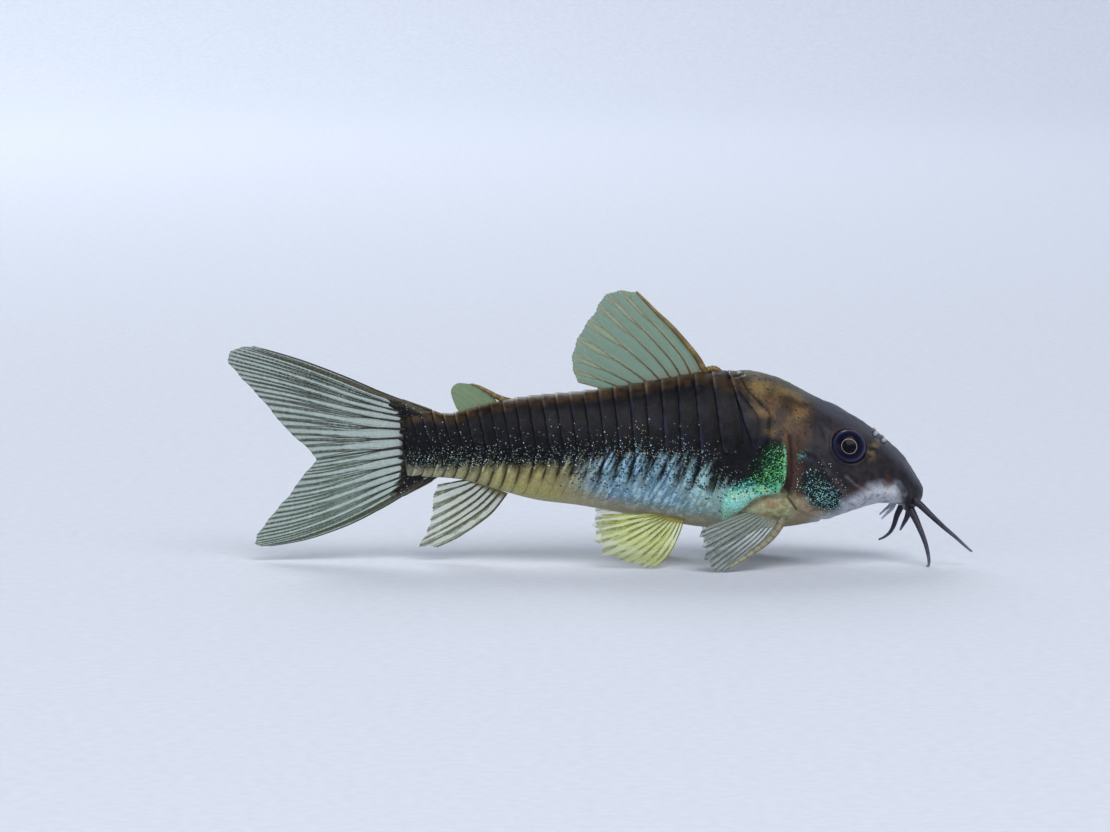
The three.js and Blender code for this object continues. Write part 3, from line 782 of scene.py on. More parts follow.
# %% The armour plates
OVERLAP = 0.42
PLATE_THICKNESS = 0.07
RIDGE_TURN = 0.2495
TURN_SEARCH = (-0.22, 0.249)
TURN_HALVINGS = 26
FIRST_EDGE, LAST_UPPER_EDGE, LAST_LOWER_EDGE = -17.9, 12.4, 10.3
UPPER_LEAN = ((-18, -4, 8, 10.6, 12.4), (1.1, 1.0, 0.35, 1.0, 2.4))
LOWER_LEAN = ((-18, -6, 12), (0.9, 1.5, 2.9))
LOWER_END = ((-18, -9, -4, 6, 12), (-0.235, -0.235, -0.15, -0.115, -0.1))
STREAK_REACH = ((-14, -5, 1, 8), (0.35, 0.5, 0.8, 1.0))
LINE_DEPTH = ((-14, -8, -3, 3), (4.0, 2.2, 1.3, 2.6))
MIDDLE_LINE = ((-18.5, -10, 12), (10.8, 10.2, 10.3))
SIDES = ((-1, "right"), (1, "left"))


def plate_spacing(edge):
    return 1.0 + 0.024 * (edge - FIRST_EDGE)


def turn_at(x, h):
    low, high = (np.full(len(x), turn) for turn in TURN_SEARCH)
    for _ in range(TURN_HALVINGS):
        middle = (low + high) / 2
        point = body_point(middle, x)
        above = point[:, 2] - SLANT * np.abs(point[:, 1]) > h
        high = np.where(above, middle, high)
        low = np.where(above, low, middle)
    return (low + high) / 2


def plate_place(edge, side, upper, seed):
    def place(run, fall):
        if upper:
            rear = edge + np.interp(edge, *UPPER_LEAN) * fall**2
        else:
            rear = edge + 0.75 - np.interp(edge, *LOWER_LEAN) * fall
        x = rear + (1 - run) * (plate_spacing(edge) + OVERLAP)
        zig = 0.34 * np.sin(run * np.pi) * (1 if upper else -1)
        middle_x = np.clip(x, -18.3, 14)
        middle_turn = turn_at(middle_x, np.interp(middle_x, *MIDDLE_LINE) - zig + 0.1)
        if upper:
            turn = RIDGE_TURN + (middle_turn - RIDGE_TURN) * fall
        else:
            turn = middle_turn - 0.004 + (np.interp(edge, *LOWER_END) - middle_turn) * fall
        base_x = np.clip(x, TAIL_X + 0.35, 30)
        base = body_point(turn, base_x)
        h = side_view(base)[1]
        tilt = -PLATE_DEPTH + 0.02 + (PLATE_DEPTH + 0.02) * run**1.3
        tilt -= smooth(run, 0.9, 1.0) * 0.035
        if upper:
            tilt -= smooth(fall, 0.12, 0.0) * 0.05 * run + smooth(fall, 0.86, 1.0) * 0.07
        else:
            tilt -= smooth(fall, 0.62, 1.0) * 0.2 + smooth(fall, 0.2, 0.0) * 0.05
        tilt -= smooth(base[:, 0] - armour_front(h), -1.3, 0.1) * 0.3
        tilt += 0.02 * mottle(base, 0.9, seed)
        points = base + body_normal(turn, base_x) * tilt[:, None]

        tall = np.interp(base[:, 0], *STREAK_REACH) * (0.8 + 0.4 * math.sin(seed * 2.3))
        drop = 0.0 if upper else -tall * (ridge(run - 0.62, 0.2) - 0.3)
        marks = colour_map(base, drop)
        top = np.interp(base[:, 0], DARK_TOP_X, DARK_TOP_H)
        depth = np.interp(base[:, 0], *LINE_DEPTH)
        marks["plate_run"] = run
        # Which ramp of painted shade and highlight a plate takes, and how strongly it shows on pale
        # flank below the dark edge
        marks["plate_pale"] = smooth(top - h, -0.2, 0.6)
        marks["plate_line"] = np.clip(1 - smooth(top - h, depth * 0.5, depth), 0.08, 1)
        marks["bake_u"] = (base_x - TAIL_X) / (SNOUT_X - TAIL_X)
        marks["bake_v"] = 0.5 + side * (turn + 0.25) * 0.98
        points[:, 1] *= side
        return points, marks

    return place


def bake_map(bm):
    uv = bm.loops.layers.uv.new("OFBake")
    u_layer = bm.verts.layers.float["bake_u"]
    v_layer = bm.verts.layers.float["bake_v"]
    for face in bm.faces:
        for loop in face.loops:
            loop[uv].uv = (loop.vert[u_layer], loop.vert[v_layer])


def plate_row(name, side, upper):
    bm = bmesh.new()
    down = 36 if upper else 32
    edge = FIRST_EDGE
    number = 0
    while edge < (LAST_UPPER_EDGE if upper else LAST_LOWER_EDGE):
        lay_sheet(bm, plate_place(edge, side, upper, float(number)), down, 14)
        edge += plate_spacing(edge)
        number += 1
    sew(bm, bm.verts, 0.0005)
    bmesh.ops.recalc_face_normals(bm, faces=bm.faces)
    inward = [f for f in bm.faces if f.normal.y * side < 0 and abs(f.normal.y) > 0.3]
    if len(inward) > len(bm.faces) * 0.3:
        bmesh.ops.reverse_faces(bm, faces=bm.faces)
    bmesh.ops.solidify(bm, geom=list(bm.faces), thickness=PLATE_THICKNESS * MM)
    bake_map(bm)
    return finish_piece(name, bm, plate_hide)


for side, side_name in SIDES:
    plate_row(f"upper_plates_{side_name}", side, True)
    plate_row(f"lower_plates_{side_name}", side, False)

# %% [markdown]
# A fin is a fan of rays in a web of clear skin. Its root line, its edge line and its front
# edge are smooth curves through a few measured points. A fan is a function that gives the
# place for two shares: which ray it is, counted from the front, and how far out along it.


# %% Curves and fans
def curve_through(points):
    points = np.array(points, float)
    padded = np.vstack([2 * points[0] - points[1], points, 2 * points[-1] - points[-2]])

    def at(share):
        place = np.clip(share, 0, 1) * (len(points) - 1)
        i = np.minimum(place.astype(int), len(points) - 2)
        t = (place - i)[:, None]
        a, b, c, d = (padded[i + k] for k in range(4))
        square = (2 * a - 5 * b + 4 * c - d) * t**2
        cube = (3 * b - a - 3 * c + d) * t**3
        return 0.5 * (2 * b + (c - a) * t + square + cube)

    return at


def fan(root, edge, lead):
    root_line = curve_through(root)
    edge_line = curve_through(edge)
    lead_line = curve_through([root[0], *lead, edge[0]])

    def at(share, out):
        start = root_line(share)
        point = start + (edge_line(share) - start) * out[:, None]
        chord = np.array(root[0]) + (np.array(edge[0]) - np.array(root[0])) * out[:, None]
        return point + (lead_line(out) - chord) * ((1 - share) ** 1.3)[:, None]

    return at


print("a curve passes", curve_through([(0, 0, 0), (1, 0, 1), (2, 0, 0)])(np.array([0.5]))[0])

# %% [markdown]
# Spines, rays and barbels are tubes along a curve. Each is a sheet rolled round the curve
# and sewn along its seam, and a function of the share along it gives its half width.


# %% Tubes
def tube_place(centre, radius, flat, facing, reach=(0, 1)):
    def place(along, around):
        middle = centre(along)
        ahead = centre(np.clip(along + 0.01, 0, 1)) - centre(np.clip(along - 0.01, 0, 1))
        ahead /= np.linalg.norm(ahead, axis=1, keepdims=True)
        side = np.cross(ahead, facing)
        side /= np.linalg.norm(side, axis=1, keepdims=True)
        up = np.cross(side, ahead)
        size = radius(along) * np.where((along == 0) | (along == 1), 0.02, 1)
        angle = around * 2 * np.pi
        offset = side * np.cos(angle)[:, None] + up * (np.sin(angle) * flat)[:, None]
        run = reach[0] + (reach[1] - reach[0]) * along
        return middle + offset * size[:, None], {"run": run}

    return place


def add_tube(bm, centre, radius, facing, sides=6, steps=18, flat=1.0, reach=(0, 1)):
    place = tube_place(centre, radius, flat, np.array(facing, float), reach)
    verts = lay_sheet(bm, place, sides, steps)
    sew(bm, verts, 0.004)


def taper(root, tip, power=1.0):
    return lambda along: root + (tip - root) * along**power


def tube_piece(name, tubes, facing, material, nodes, flat=1.0):
    bm = bmesh.new()
    for line, sizes, sides, steps in tubes:
        add_tube(bm, curve_through(line), taper(*sizes), facing, sides, steps, flat)
    finish_piece(name, bm, material, nodes)


print("a spine is", taper(0.36, 0.09)(0.5), "mm from its middle to its side halfway along")

# %% [markdown]
# A ray forks twice on its way out, so it is seven tubes: a stem, two branches and four
# twigs, each thinner than the one before. Rays may crowd towards the front of the fin.


# %% Forked rays
def forked_ray(bm, at, share, gap, thick, facing, forks=(0.42, 0.72), tip=1.0, steps=16):
    def branch(start, end, low, high, r_low, r_high, sides):
        def centre(along):
            out = start + (end - start) * along
            lean = low + (high - low) * smooth(along, 0, 0.9)
            return at(np.clip(share + lean * gap, 0, 1), out)

        add_tube(bm, centre, taper(r_low, r_high), facing, sides, steps, 1.0, (start, end))

    first, second = forks
    branch(0, first + 0.02, 0, 0, thick, thick * 0.72, 6)
    for left in (-1, 1):
        branch(first, second + 0.02, left * 0.02, left * 0.2, thick * 0.5, thick * 0.38, 5)
        for inner in (-1, 1):
            lean = left * 0.2
            branch(second, tip, lean, lean + inner * 0.13, thick * 0.34, thick * 0.16, 4)


def ray_share(ray, rays, crowd):
    return (ray / (rays - 1)) ** crowd


def even_feet(rays, spread, first=0, crowd=1.0, start=0.0, span=1.0):
    shares = [start + span * ray_share(ray, rays, crowd) for ray in range(first, rays)]
    return [(share, spread / rays) for share in shares]


def ray_piece(name, at, feet, thick, facing, material, slot="clear_fin", **shape):
    bm = bmesh.new()
    for share, gap in feet:
        forked_ray(bm, at, share, gap, thick, facing, **shape)
    finish_piece(name, bm, material, ())


print("feet of five rays", [round(share, 2) for share, gap in even_feet(5, 0.9)])

# %% [markdown]
# The web is one thin sheet in the same fan, given a thickness of its own. It stands a
# little away from the plane on each ray, and its edge is a little shorter between the tips.

# %% Webs
WEB_THICKNESS = 0.05
WEB_COLUMNS = 8


def web_piece(
    name, at, rays, facing, material, node,
    crowd=1.0, ripple=0.02, rows=24, notch=0.014, ragged=0.0,
):
    normal = np.array(facing, float) / np.linalg.norm(facing)

    def place(out, share):
        pitch = share * (rays - 1)
        phase = np.cos(pitch * 2 * np.pi)
        frill = np.cos(pitch * 8 * np.pi)
        torn = mottle(np.outer(pitch, (1.7, 0.3, 0.0)), 1.0, 4.0)
        reach = out * (1 - notch * (1 - phase) - notch * 0.6 * (1 - frill) + ragged * (torn - 0.5))
        wave = ripple * phase * smooth(out, 0, 0.3)
        return at(share**crowd, reach) + normal * wave[:, None], {"run": out, "pitch": pitch}

    bm = bmesh.new()
    lay_sheet(bm, place, (rays - 1) * WEB_COLUMNS, rows)
    bmesh.ops.recalc_face_normals(bm, faces=bm.faces)
    bmesh.ops.solidify(bm, geom=list(bm.faces), thickness=WEB_THICKNESS * MM)
    finish_piece(name, bm, material, (node,), outward=False)


print("a web of nine rays is laid in", 8 * WEB_COLUMNS, "columns")

# %% [markdown]
# Fin web is living skin, clear as wet film with scattered dark pigment cells, so it takes an
# alpha instead of refraction. It is milkier near the root where it is thick. Pigment lies
# along the rays in fine lines that spread outwards, more at the leading edge than behind. A
# ray is bone in short joints, so its colour steps along it, and the web shows them as hatch.

# %% Fin web
WEB_JOINTS = 60
FILM_CLOUD = 0.35 * MM
PIGMENT_PATCH = 1.6 * MM


def fin_web(
    name, colours, clear, banded, spread, lines, depth, hatch,
    uneven=(0.55, 1.45), sharp=-0.8, outer=1.0,
):
    root_colour, clear_colour, band_colour, outer_colour = colours
    material, tree = start_material(name)
    place = add(tree, "TexCoord").outputs["Object"]
    run = add(tree, "Attribute", attribute_name="run").outputs["Fac"]
    pitch = add(tree, "Attribute", attribute_name="pitch").outputs["Fac"]
    film = add(tree, "TexNoise", {"Vector": place, "Scale": 1 / FILM_CLOUD, "Detail": 4.0})
    patches = add(tree, "TexNoise", {"Vector": place, "Scale": 1 / PIGMENT_PATCH, "Detail": 2.0})

    turned = add(tree, "Math", (pitch, 2 * math.pi), operation="MULTIPLY")
    wave = add(tree, "Math", (turned,), operation="COSINE")
    off_ray = add(tree, "MapRange", (wave, 1.0, -1.0))
    width = add(tree, "MapRange", (run, 0.0, 0.9, spread[0], spread[1]))
    lead = add(tree, "MapRange", (pitch, 0.0, 2.5, spread[2], 0.0))
    wider = add(tree, "Math", (width, lead), operation="ADD")
    broken = add(tree, "MapRange", (patches, 0.3, 0.7, uneven[0], uneven[1]))
    edge = add(tree, "Math", (wider, broken), operation="MULTIPLY")
    inside = add(tree, "Math", (edge, off_ray), operation="SUBTRACT")
    band = add(tree, "MapRange", (inside, -0.1, 0.12))

    line_turn = add(tree, "Math", (turned, lines), operation="MULTIPLY")
    line_wave = add(tree, "Math", (line_turn,), operation="COSINE")
    fine = add(tree, "MapRange", (line_wave, sharp, 0.9, 1.0 - depth, 1.0))
    joint_turn = add(tree, "Math", (run, WEB_JOINTS * 2 * math.pi), operation="MULTIPLY")
    slanted = add(tree, "Math", (joint_turn, line_turn), operation="ADD")
    joint_wave = add(tree, "Math", (slanted,), operation="COSINE")
    joints = add(tree, "MapRange", (joint_wave, -0.6, 0.6, 1.0 - hatch, 1.0))
    lined = add(tree, "Math", (band, fine), operation="MULTIPLY")
    streaked = add(tree, "Math", (lined, joints), operation="MULTIPLY")
    mottled = add(tree, "MapRange", (film, 0.3, 0.7, 0.7, 1.15))
    pigment = add(tree, "Math", (streaked, mottled), operation="MULTIPLY")

    root = add(tree, "MapRange", (run, 0.14, 0.02))
    band_tint = ramp(tree, run, ((0.35, band_colour), (1.0, outer_colour)))
    skin_inputs = {0: pigment, 6: rgba(clear_colour), 7: band_tint}
    skin = add(tree, "Mix", skin_inputs, data_type="RGBA").outputs[2]
    colour = add(tree, "Mix", {0: root, 6: skin, 7: rgba(root_colour)}, data_type="RGBA")
    veil = add(tree, "MapRange", (pigment, 0.0, 1.0, clear, banded))
    thick = add(tree, "Math", (veil, root), operation="MAXIMUM")
    cloudy = add(tree, "MapRange", (film, 0.3, 0.7, 0.9, 1.08))
    thin = add(tree, "MapRange", (run, 0.55, 1.0, 1.0, outer))
    solid = add(tree, "Math", (cloudy, thin), operation="MULTIPLY")
    alpha = add(tree, "Math", (thick, solid), operation="MULTIPLY", use_clamp=True)
    normal = add(tree, "Bump", {"Height": streaked, "Strength": 0.4, "Distance": 0.04 * MM})
    return finish_material(material, {
        "Base Color": colour.outputs[2], "Roughness": 0.38, "Alpha": alpha, "Normal": normal,
        "IOR": 1.36, "Specular IOR Level": 0.35,
    })


print("a web shows", WEB_JOINTS, "joints along each ray")

# %% [markdown]
# The six webs differ in their colours and in how much pigment they hold. The colours are
# those of the root, the clear part, the bands and the bands' outer end. Clear and banded say
# how opaque the two parts are. Spread is how wide a band is at its root, at its end, and
# extra at the front. Lines and depth set the fine lines and hatch sets the joints, while
# uneven breaks the bands up, sharp narrows the lines, and outer thins the fin at its edge.

# %% The six webs
dorsal_web = fin_web(
    "clear_dorsal_skin", ("#7a7350", "#6c8b73", "#96a084", "#96a084"), clear=0.7, banded=0.85,
    spread=(0.02, 0.3, 0.3), lines=5.0, depth=0.3, hatch=0.15, outer=0.92,
)
adipose_web = fin_web(
    "clear_adipose_skin", ("#7d7a50", "#6d865a", "#7f8c70", "#7f8c70"), clear=0.74, banded=0.85,
    spread=(0.0, 0.1, 0.2), lines=4.0, depth=0.3, hatch=0.0,
)
tail_web = fin_web(
    "clear_tail_skin", ("#1b1812", "#77917c", "#1a1812", "#33342a"), clear=0.4, banded=0.97,
    spread=(0.2, 1.1, 0.6), lines=3.0, depth=0.9, hatch=0.35,
    uneven=(0.85, 1.15), sharp=-0.3, outer=0.95,
)
anal_web = fin_web(
    "clear_anal_skin", ("#8a8660", "#a8b590", "#45412c", "#5d5a42"), clear=0.34, banded=0.9,
    spread=(0.3, 0.5, 0.3), lines=1.0, depth=0.5, hatch=0.3,
    uneven=(0.2, 1.6), sharp=-0.5, outer=0.7,
)
pelvic_web = fin_web(
    "yellow_pelvic_skin", ("#8a6a32", "#cdd978", "#44471f", "#6c7038"), clear=0.3, banded=0.9,
    spread=(0.2, 0.45, 0.25), lines=1.0, depth=0.5, hatch=0.2,
    uneven=(-0.7, 1.7), sharp=-0.3, outer=0.4,
)
pectoral_web = fin_web(
    "clear_pectoral_skin", ("#6b5a3c", "#8d9a94", "#14170f", "#2e332c"), clear=0.42, banded=0.97,
    spread=(0.35, 0.8, 0.4), lines=2.0, depth=0.6, hatch=0.2,
    uneven=(0.5, 1.4), sharp=-0.4, outer=0.7,
)
print("materials so far:", len(bpy.data.materials))

# %% [markdown]
# Rays and spines are bone under thin skin, paler towards the tip. A ray is built of short
# joints, so a band of another colour comes back many times along it. A spine has only a few.

# %% Ray and spine bone
BONE_GRAIN = 0.15 * MM  # coarser than the grain of real bone, which is too fine to show


def fin_ray(name, root_colour, tip_colour, joint_colour, joints, contrast=0.5):
    material, tree = start_material(name)
    place = add(tree, "TexCoord").outputs["Object"]
    run = add(tree, "Attribute", attribute_name="run").outputs["Fac"]
    base = ramp(tree, run, ((0.0, root_colour), (1.0, tip_colour)))
    phase = add(tree, "Math", (run, joints * 2 * math.pi), operation="MULTIPLY")
    wave = add(tree, "Math", (phase,), operation="SINE")
    band = add(tree, "MapRange", (wave, 0.1, 0.8, 0.0, contrast))
    mixed = add(tree, "Mix", {0: band, 6: base, 7: rgba(joint_colour)}, data_type="RGBA")
    grain = add(tree, "TexNoise", {"Vector": place, "Scale": 1 / BONE_GRAIN, "Detail": 3.0})
    shade = add(tree, "MapRange", (grain, 0.3, 0.7, 0.6, 1.35))
    colour = add(tree, "VectorMath", (mixed.outputs[2], shade), operation="MULTIPLY")
    normal = add(tree, "Bump", {"Height": grain, "Strength": 0.3, "Distance": 0.03 * MM})
    return finish_material(material, {
        "Base Color": colour, "Roughness": 0.42, "Normal": normal,
        "IOR": 1.4, "Specular IOR Level": 0.35,
    })


tail_ray = fin_ray("dark_tail_ray", "#191510", "#3a3a2e", "#55564a", 60, 0.35)
tail_edge_ray = fin_ray("brown_tail_edge", "#3c362b", "#4a4638", "#6b6550", 40, 0.4)
dorsal_ray = fin_ray("tan_dorsal_ray", "#4a3c28", "#a3a083", "#6d6a50", 60, 0.4)
anal_ray = fin_ray("dark_anal_ray", "#3f3826", "#5a5840", "#7d7850", 40, 0.4)
pelvic_ray = fin_ray("yellow_pelvic_ray", "#8a6a2c", "#b0b34c", "#5d5c28", 40, 0.4)
pectoral_ray = fin_ray("olive_pectoral_ray", "#6a664e", "#a3a89c", "#555a4e", 40, 0.35)
gold_spine = fin_ray("gold_fin_spine", "#5a4626", "#7a6e48", "#8f7d4c", 6)
pale_spine = fin_ray("pale_fin_spine", "#6a6450", "#98967a", "#55523f", 12)
print("materials so far:", len(bpy.data.materials))

# %% [markdown]
# The unpaired fins stand on the fish's middle plane. The dorsal fin has a strong spine with
# a lock at its foot, and the small adipose fin is one spine with a flap of skin behind it.
# Each takes the place of its plain CAD fin, and its lead line bends its front edge.

# %% The dorsal and adipose fins
SIDEWAYS = (0, 1, 0)
DORSAL_RAYS = 9
ADIPOSE_RAYS = 4
dorsal = fan(
    [(9.9, 0, 17.6), (6, 0, 17.1), (1.2, 0, 16.3)],
    [
        (3.6, 0, 25.7), (1.9, 0, 25.9), (0.4, 0, 25.3), (-0.4, 0, 23.9),
        (-1.7, 0, 22), (-2.5, 0, 20), (-2.5, 0, 18.4), (-2, 0, 17.1),
    ],
    [(9.05, 0, 19.6), (7.0, 0, 22.1), (5.4, 0, 23.7), (4.2, 0, 25.0)],
)
DORSAL_SPINE = [
    (10.5, 0, 17.4), (9.95, 0, 18.4), (9.15, 0, 19.75), (7.1, 0, 22.2), (5.5, 0, 23.75),
    (4.2, 0, 25.1), (3.5, 0, 25.8),
]
DORSAL_LOCK = [(11.7, 0, 17.9), (11.0, 0, 18.4), (10.2, 0, 18.3)]
adipose = fan(
    [(-9.4, 0, 15.0), (-11.6, 0, 14.6), (-13.2, 0, 14.2)],
    [(-12.1, 0, 16.95), (-13.4, 0, 17), (-14, 0, 16.4), (-13.9, 0, 15.6), (-13.5, 0, 14.6)],
    [(-10.4, 0, 16.1), (-11.3, 0, 16.6)],
)
ADIPOSE_SPINE = [
    (-8.2, 0, 15.2), (-9.4, 0, 15.6), (-10.4, 0, 16.15), (-11.3, 0, 16.65), (-12.2, 0, 16.98),
]

web_piece("dorsal_web", dorsal, DORSAL_RAYS, SIDEWAYS, dorsal_web, "dorsal_fin", notch=0.009)
dorsal_feet = even_feet(DORSAL_RAYS, 0.9, first=1)
ray_piece("dorsal_rays", dorsal, dorsal_feet, 0.095, SIDEWAYS, dorsal_ray, tip=0.985)
dorsal_tubes = ((DORSAL_SPINE, (0.36, 0.09), 12, 40), (DORSAL_LOCK, (0.3, 0.3), 12, 12))
tube_piece(
    "dorsal_spine_and_lock", dorsal_tubes, SIDEWAYS, gold_spine, ("dorsal_spine",),
)
web_piece(
    "adipose_web", adipose, ADIPOSE_RAYS, SIDEWAYS, adipose_web, "adipose_fin",
    ripple=0.01, rows=14, notch=0.0,
)
adipose_tubes = ((ADIPOSE_SPINE, (0.34, 0.09), 12, 20),)
tube_piece(
    "adipose_spine_bone", adipose_tubes, SIDEWAYS, gold_spine, ("adipose_spine",),
)

# %% [markdown]
# The tail fin has two lobes that meet on the fish's middle line. Its rays crowd towards the
# two outer edges, where short extra rays brace them. Each lobe is its own fan, and both
# start inside the stalk so that no gap shows at their feet.

# %% The tail fin
TAIL_RAYS = 9
TAIL_CROWD = 1.35
TAIL_EXTRAS = 7
tail_upper = fan(
    [(-15.0, 0, 14.0), (-17.7, 0, 13.3), (-18.2, 0, 10.99)],
    [
        (-32.8, 0, 20.6), (-34.5, 0, 20.35), (-35.35, 0, 19.4), (-34.5, 0, 18.1),
        (-33.3, 0, 16.8), (-32, 0, 15.4), (-30.7, 0, 13.8), (-29.3, 0, 12.2),
        (-27.9, 0, 11.0), (-26.8, 0, 9.71),
    ],
    [(-16.6, 0, 14.65), (-18.6, 0, 15.4), (-20.9, 0, 16.3), (-24.4, 0, 17.8), (-28.4, 0, 19.3)],
)
tail_lower = fan(
    [(-15.2, 0, 8.2), (-17.7, 0, 8.8), (-18.2, 0, 10.99)],
    [
        (-31.2, 0, 1.4), (-32.6, 0, 1.5), (-32.6, 0, 2.4), (-31.6, 0, 3.8), (-30.4, 0, 5.3),
        (-29.4, 0, 6.4), (-28.3, 0, 8), (-27.6, 0, 8.8), (-26.8, 0, 9.71),
    ],
    [(-16.4, 0, 7.45), (-18.5, 0, 6.3), (-20.9, 0, 4.9), (-23.9, 0, 3.4), (-27.6, 0, 2.1)],
)


def tail_foot(ray):
    before = ray_share(max(ray - 1, 0), TAIL_RAYS, TAIL_CROWD)
    gap = 0.42 * (ray_share(ray + 1, TAIL_RAYS, TAIL_CROWD) - before)
    return 0.004 + 0.99 * ray_share(ray, TAIL_RAYS, TAIL_CROWD), gap


def edge_ray(lobe, extra, lift):
    def centre(along):
        inner = 0.012 * (TAIL_EXTRAS - 1 - extra)
        point = lobe(np.full(len(along), inner), 0.08 + along * (0.86 - 0.1 * extra))
        return point + np.array([0, 0, lift])

    return centre


for lobe_name, lobe, sign in (("upper", tail_upper, 1), ("lower", tail_lower, -1)):
    web_piece(
        f"tail_web_{lobe_name}", lobe, TAIL_RAYS, SIDEWAYS, tail_web, f"caudal_fin_{lobe_name}",
        crowd=TAIL_CROWD, rows=34, notch=0.003,
    )
    ray_piece(
        f"tail_rays_{lobe_name}", lobe, [tail_foot(ray) for ray in range(TAIL_RAYS)], 0.13,
        SIDEWAYS, tail_ray, forks=(0.25, 0.5), tip=0.975, steps=20,
    )
    bm = bmesh.new()
    for extra in range(TAIL_EXTRAS):
        add_tube(bm, edge_ray(lobe, extra, sign * 0.012 * extra), taper(0.1, 0.04), SIDEWAYS)
    finish_piece(f"tail_edge_{lobe_name}", bm, tail_edge_ray, ())

# %% [markdown]
# The anal fin hangs under the tail stalk and leans well back. Its skin is nearly clear, and
# its outer edge is a little ragged, as on any fish that has brushed against gravel.

# %% The anal fin
ANAL_RAYS = 8
anal = fan(
    [(-8.6, 0, 6.5), (-10.5, 0, 7.2), (-12.5, 0, 7.8)],
    [
        (-15.6, 0, 1.2), (-17.3, 0, 1.4), (-16.8, 0, 2.2), (-16.3, 0, 3.4),
        (-16, 0, 4.6), (-15.8, 0, 6.2), (-15.4, 0, 7.3),
    ],
    [(-10.0, 0, 4.7), (-11.6, 0, 3.4), (-13.5, 0, 2.2)],
)
web_piece("anal_web", anal, ANAL_RAYS, SIDEWAYS, anal_web, "anal_fin", ragged=0.03)
anal_feet = even_feet(ANAL_RAYS, 0.9, start=0.02, span=0.97)
ray_piece("anal_rays", anal, anal_feet, 0.1, SIDEWAYS, anal_ray, forks=(0.5, 0.78), tip=0.97)

# %% [markdown]
# The stalk doesn't stop dead where the tail fin begins. Dark flesh runs out between the
# feet of the rays as a wedge that thins to nothing, furthest along the fin's two edges.

# %% The fleshy tail base
TAIL_BASE_START = -16.6
TAIL_BASE_SIDES, TAIL_BASE_STEPS = 96, 40


def edge_height(lobe, x):
    line = lobe(np.zeros(80), np.linspace(0, 1, 80))
    return np.interp(-x, -line[:, 0], line[:, 2])


def tail_base_place(along, around):
    angle = around * 2 * np.pi
    high = np.sin(angle)
    phase = np.cos((1 - np.abs(high)) ** 1.3 * (TAIL_RAYS - 1) * 2 * np.pi)
    x = TAIL_BASE_START - along * (2.2 + 0.35 * phase + 2.6 * np.abs(high) ** 5)
    top = edge_height(tail_upper, x) + 0.03
    bottom = edge_height(tail_lower, x) - 0.03
    tall = (top - bottom) / 2 - 0.3 * (1 - along)
    half = (station(np.maximum(x, TAIL_X + 0.4), "half") - 0.2) * (1 - along) ** 1.3 + 0.04
    y = half * np.cos(angle) * np.where(along == 1, 0.2, 1)
    points = np.stack([x, y, (top + bottom) / 2 + tall * high], axis=1)
    small = mottle(points, 0.5, 2.0)
    tint = glaze(
        "#131315",
        ("#474134", smooth(np.abs(high), 0.82, 1.0) * 0.9),
        ("#46351f", smooth(along, 0.6, 1) * (0.3 + small) * (1 - high**2)),
    )
    spark = np.tile(linear("#8fa397"), (len(x), 1))
    return points, {
        "tint": np.column_stack([tint, np.ones(len(x))]),
        "glint": np.column_stack([spark, 0.12 * (1 - along)]),
        "fleck": 0.2 * along,
    }


bm = bmesh.new()
verts = lay_sheet(bm, tail_base_place, TAIL_BASE_SIDES, TAIL_BASE_STEPS)
sew(bm, verts)
finish_piece("tail_base", bm, head_hide)

# %% [markdown]
# The paired fins carry the fish. Each pectoral fin has a stout spine at its front edge and
# its fan trails behind it to the floor, and the yellow pelvic fins hang beside the belly.
# Both sides are the same fan with its sideways coordinate turned over.

# %% Paired fins
PECTORAL_SPINE = [
    (17.6, 5.2, 5.4), (17.0, 6.2, 4.1), (16.0, 7.0, 2.9), (14.6, 7.7, 1.9), (12.9, 8.4, 0.9),
    (12.2, 8.6, 0.45),
]
PECTORAL_LEAD = [(16.8, 6.2, 3.9), (15.8, 7.0, 2.75), (14.4, 7.7, 1.75), (13.0, 8.35, 0.85)]
PECTORAL_ROOT = [(17.3, 5.2, 4.9), (16.7, 5.2, 5.6), (16.2, 5.2, 6.1)]
PECTORAL_EDGE = [
    (12.5, 8.6, 0.5), (11.6, 8.8, 0.06), (10.6, 8.9, 0.06), (10, 8.9, 0.8),
    (9.6, 8.7, 2.1), (9.4, 8.2, 3.2), (9.6, 7.7, 4.1),
]
PECTORAL_RAYS = 12
PECTORAL_CROWD = 0.85
PECTORAL_FACING = (0.25, 0.8, 0.55)
PELVIC_RAYS = 11
PELVIC_LEAD = [(7.6, 4.5, 3.1), (6.9, 5.1, 1.7), (6.0, 5.7, 0.65)]
PELVIC_ROOT = [(8.1, 3.8, 4.6), (7.1, 3.7, 4.8), (6.1, 3.5, 5.0)]
PELVIC_EDGE = [
    (4.9, 6.1, 0.06), (3.8, 6.2, 0.08), (2.2, 6.1, 0.5), (0.8, 6.1, 1),
    (-0.5, 5.9, 2.1), (-0.8, 5.6, 3.6), (-0.1, 5.1, 5.1),
]
PELVIC_FACING = (0.2, 0.93, 0.3)


def turned(points, side):
    return [(x, side * y, z) for x, y, z in points]


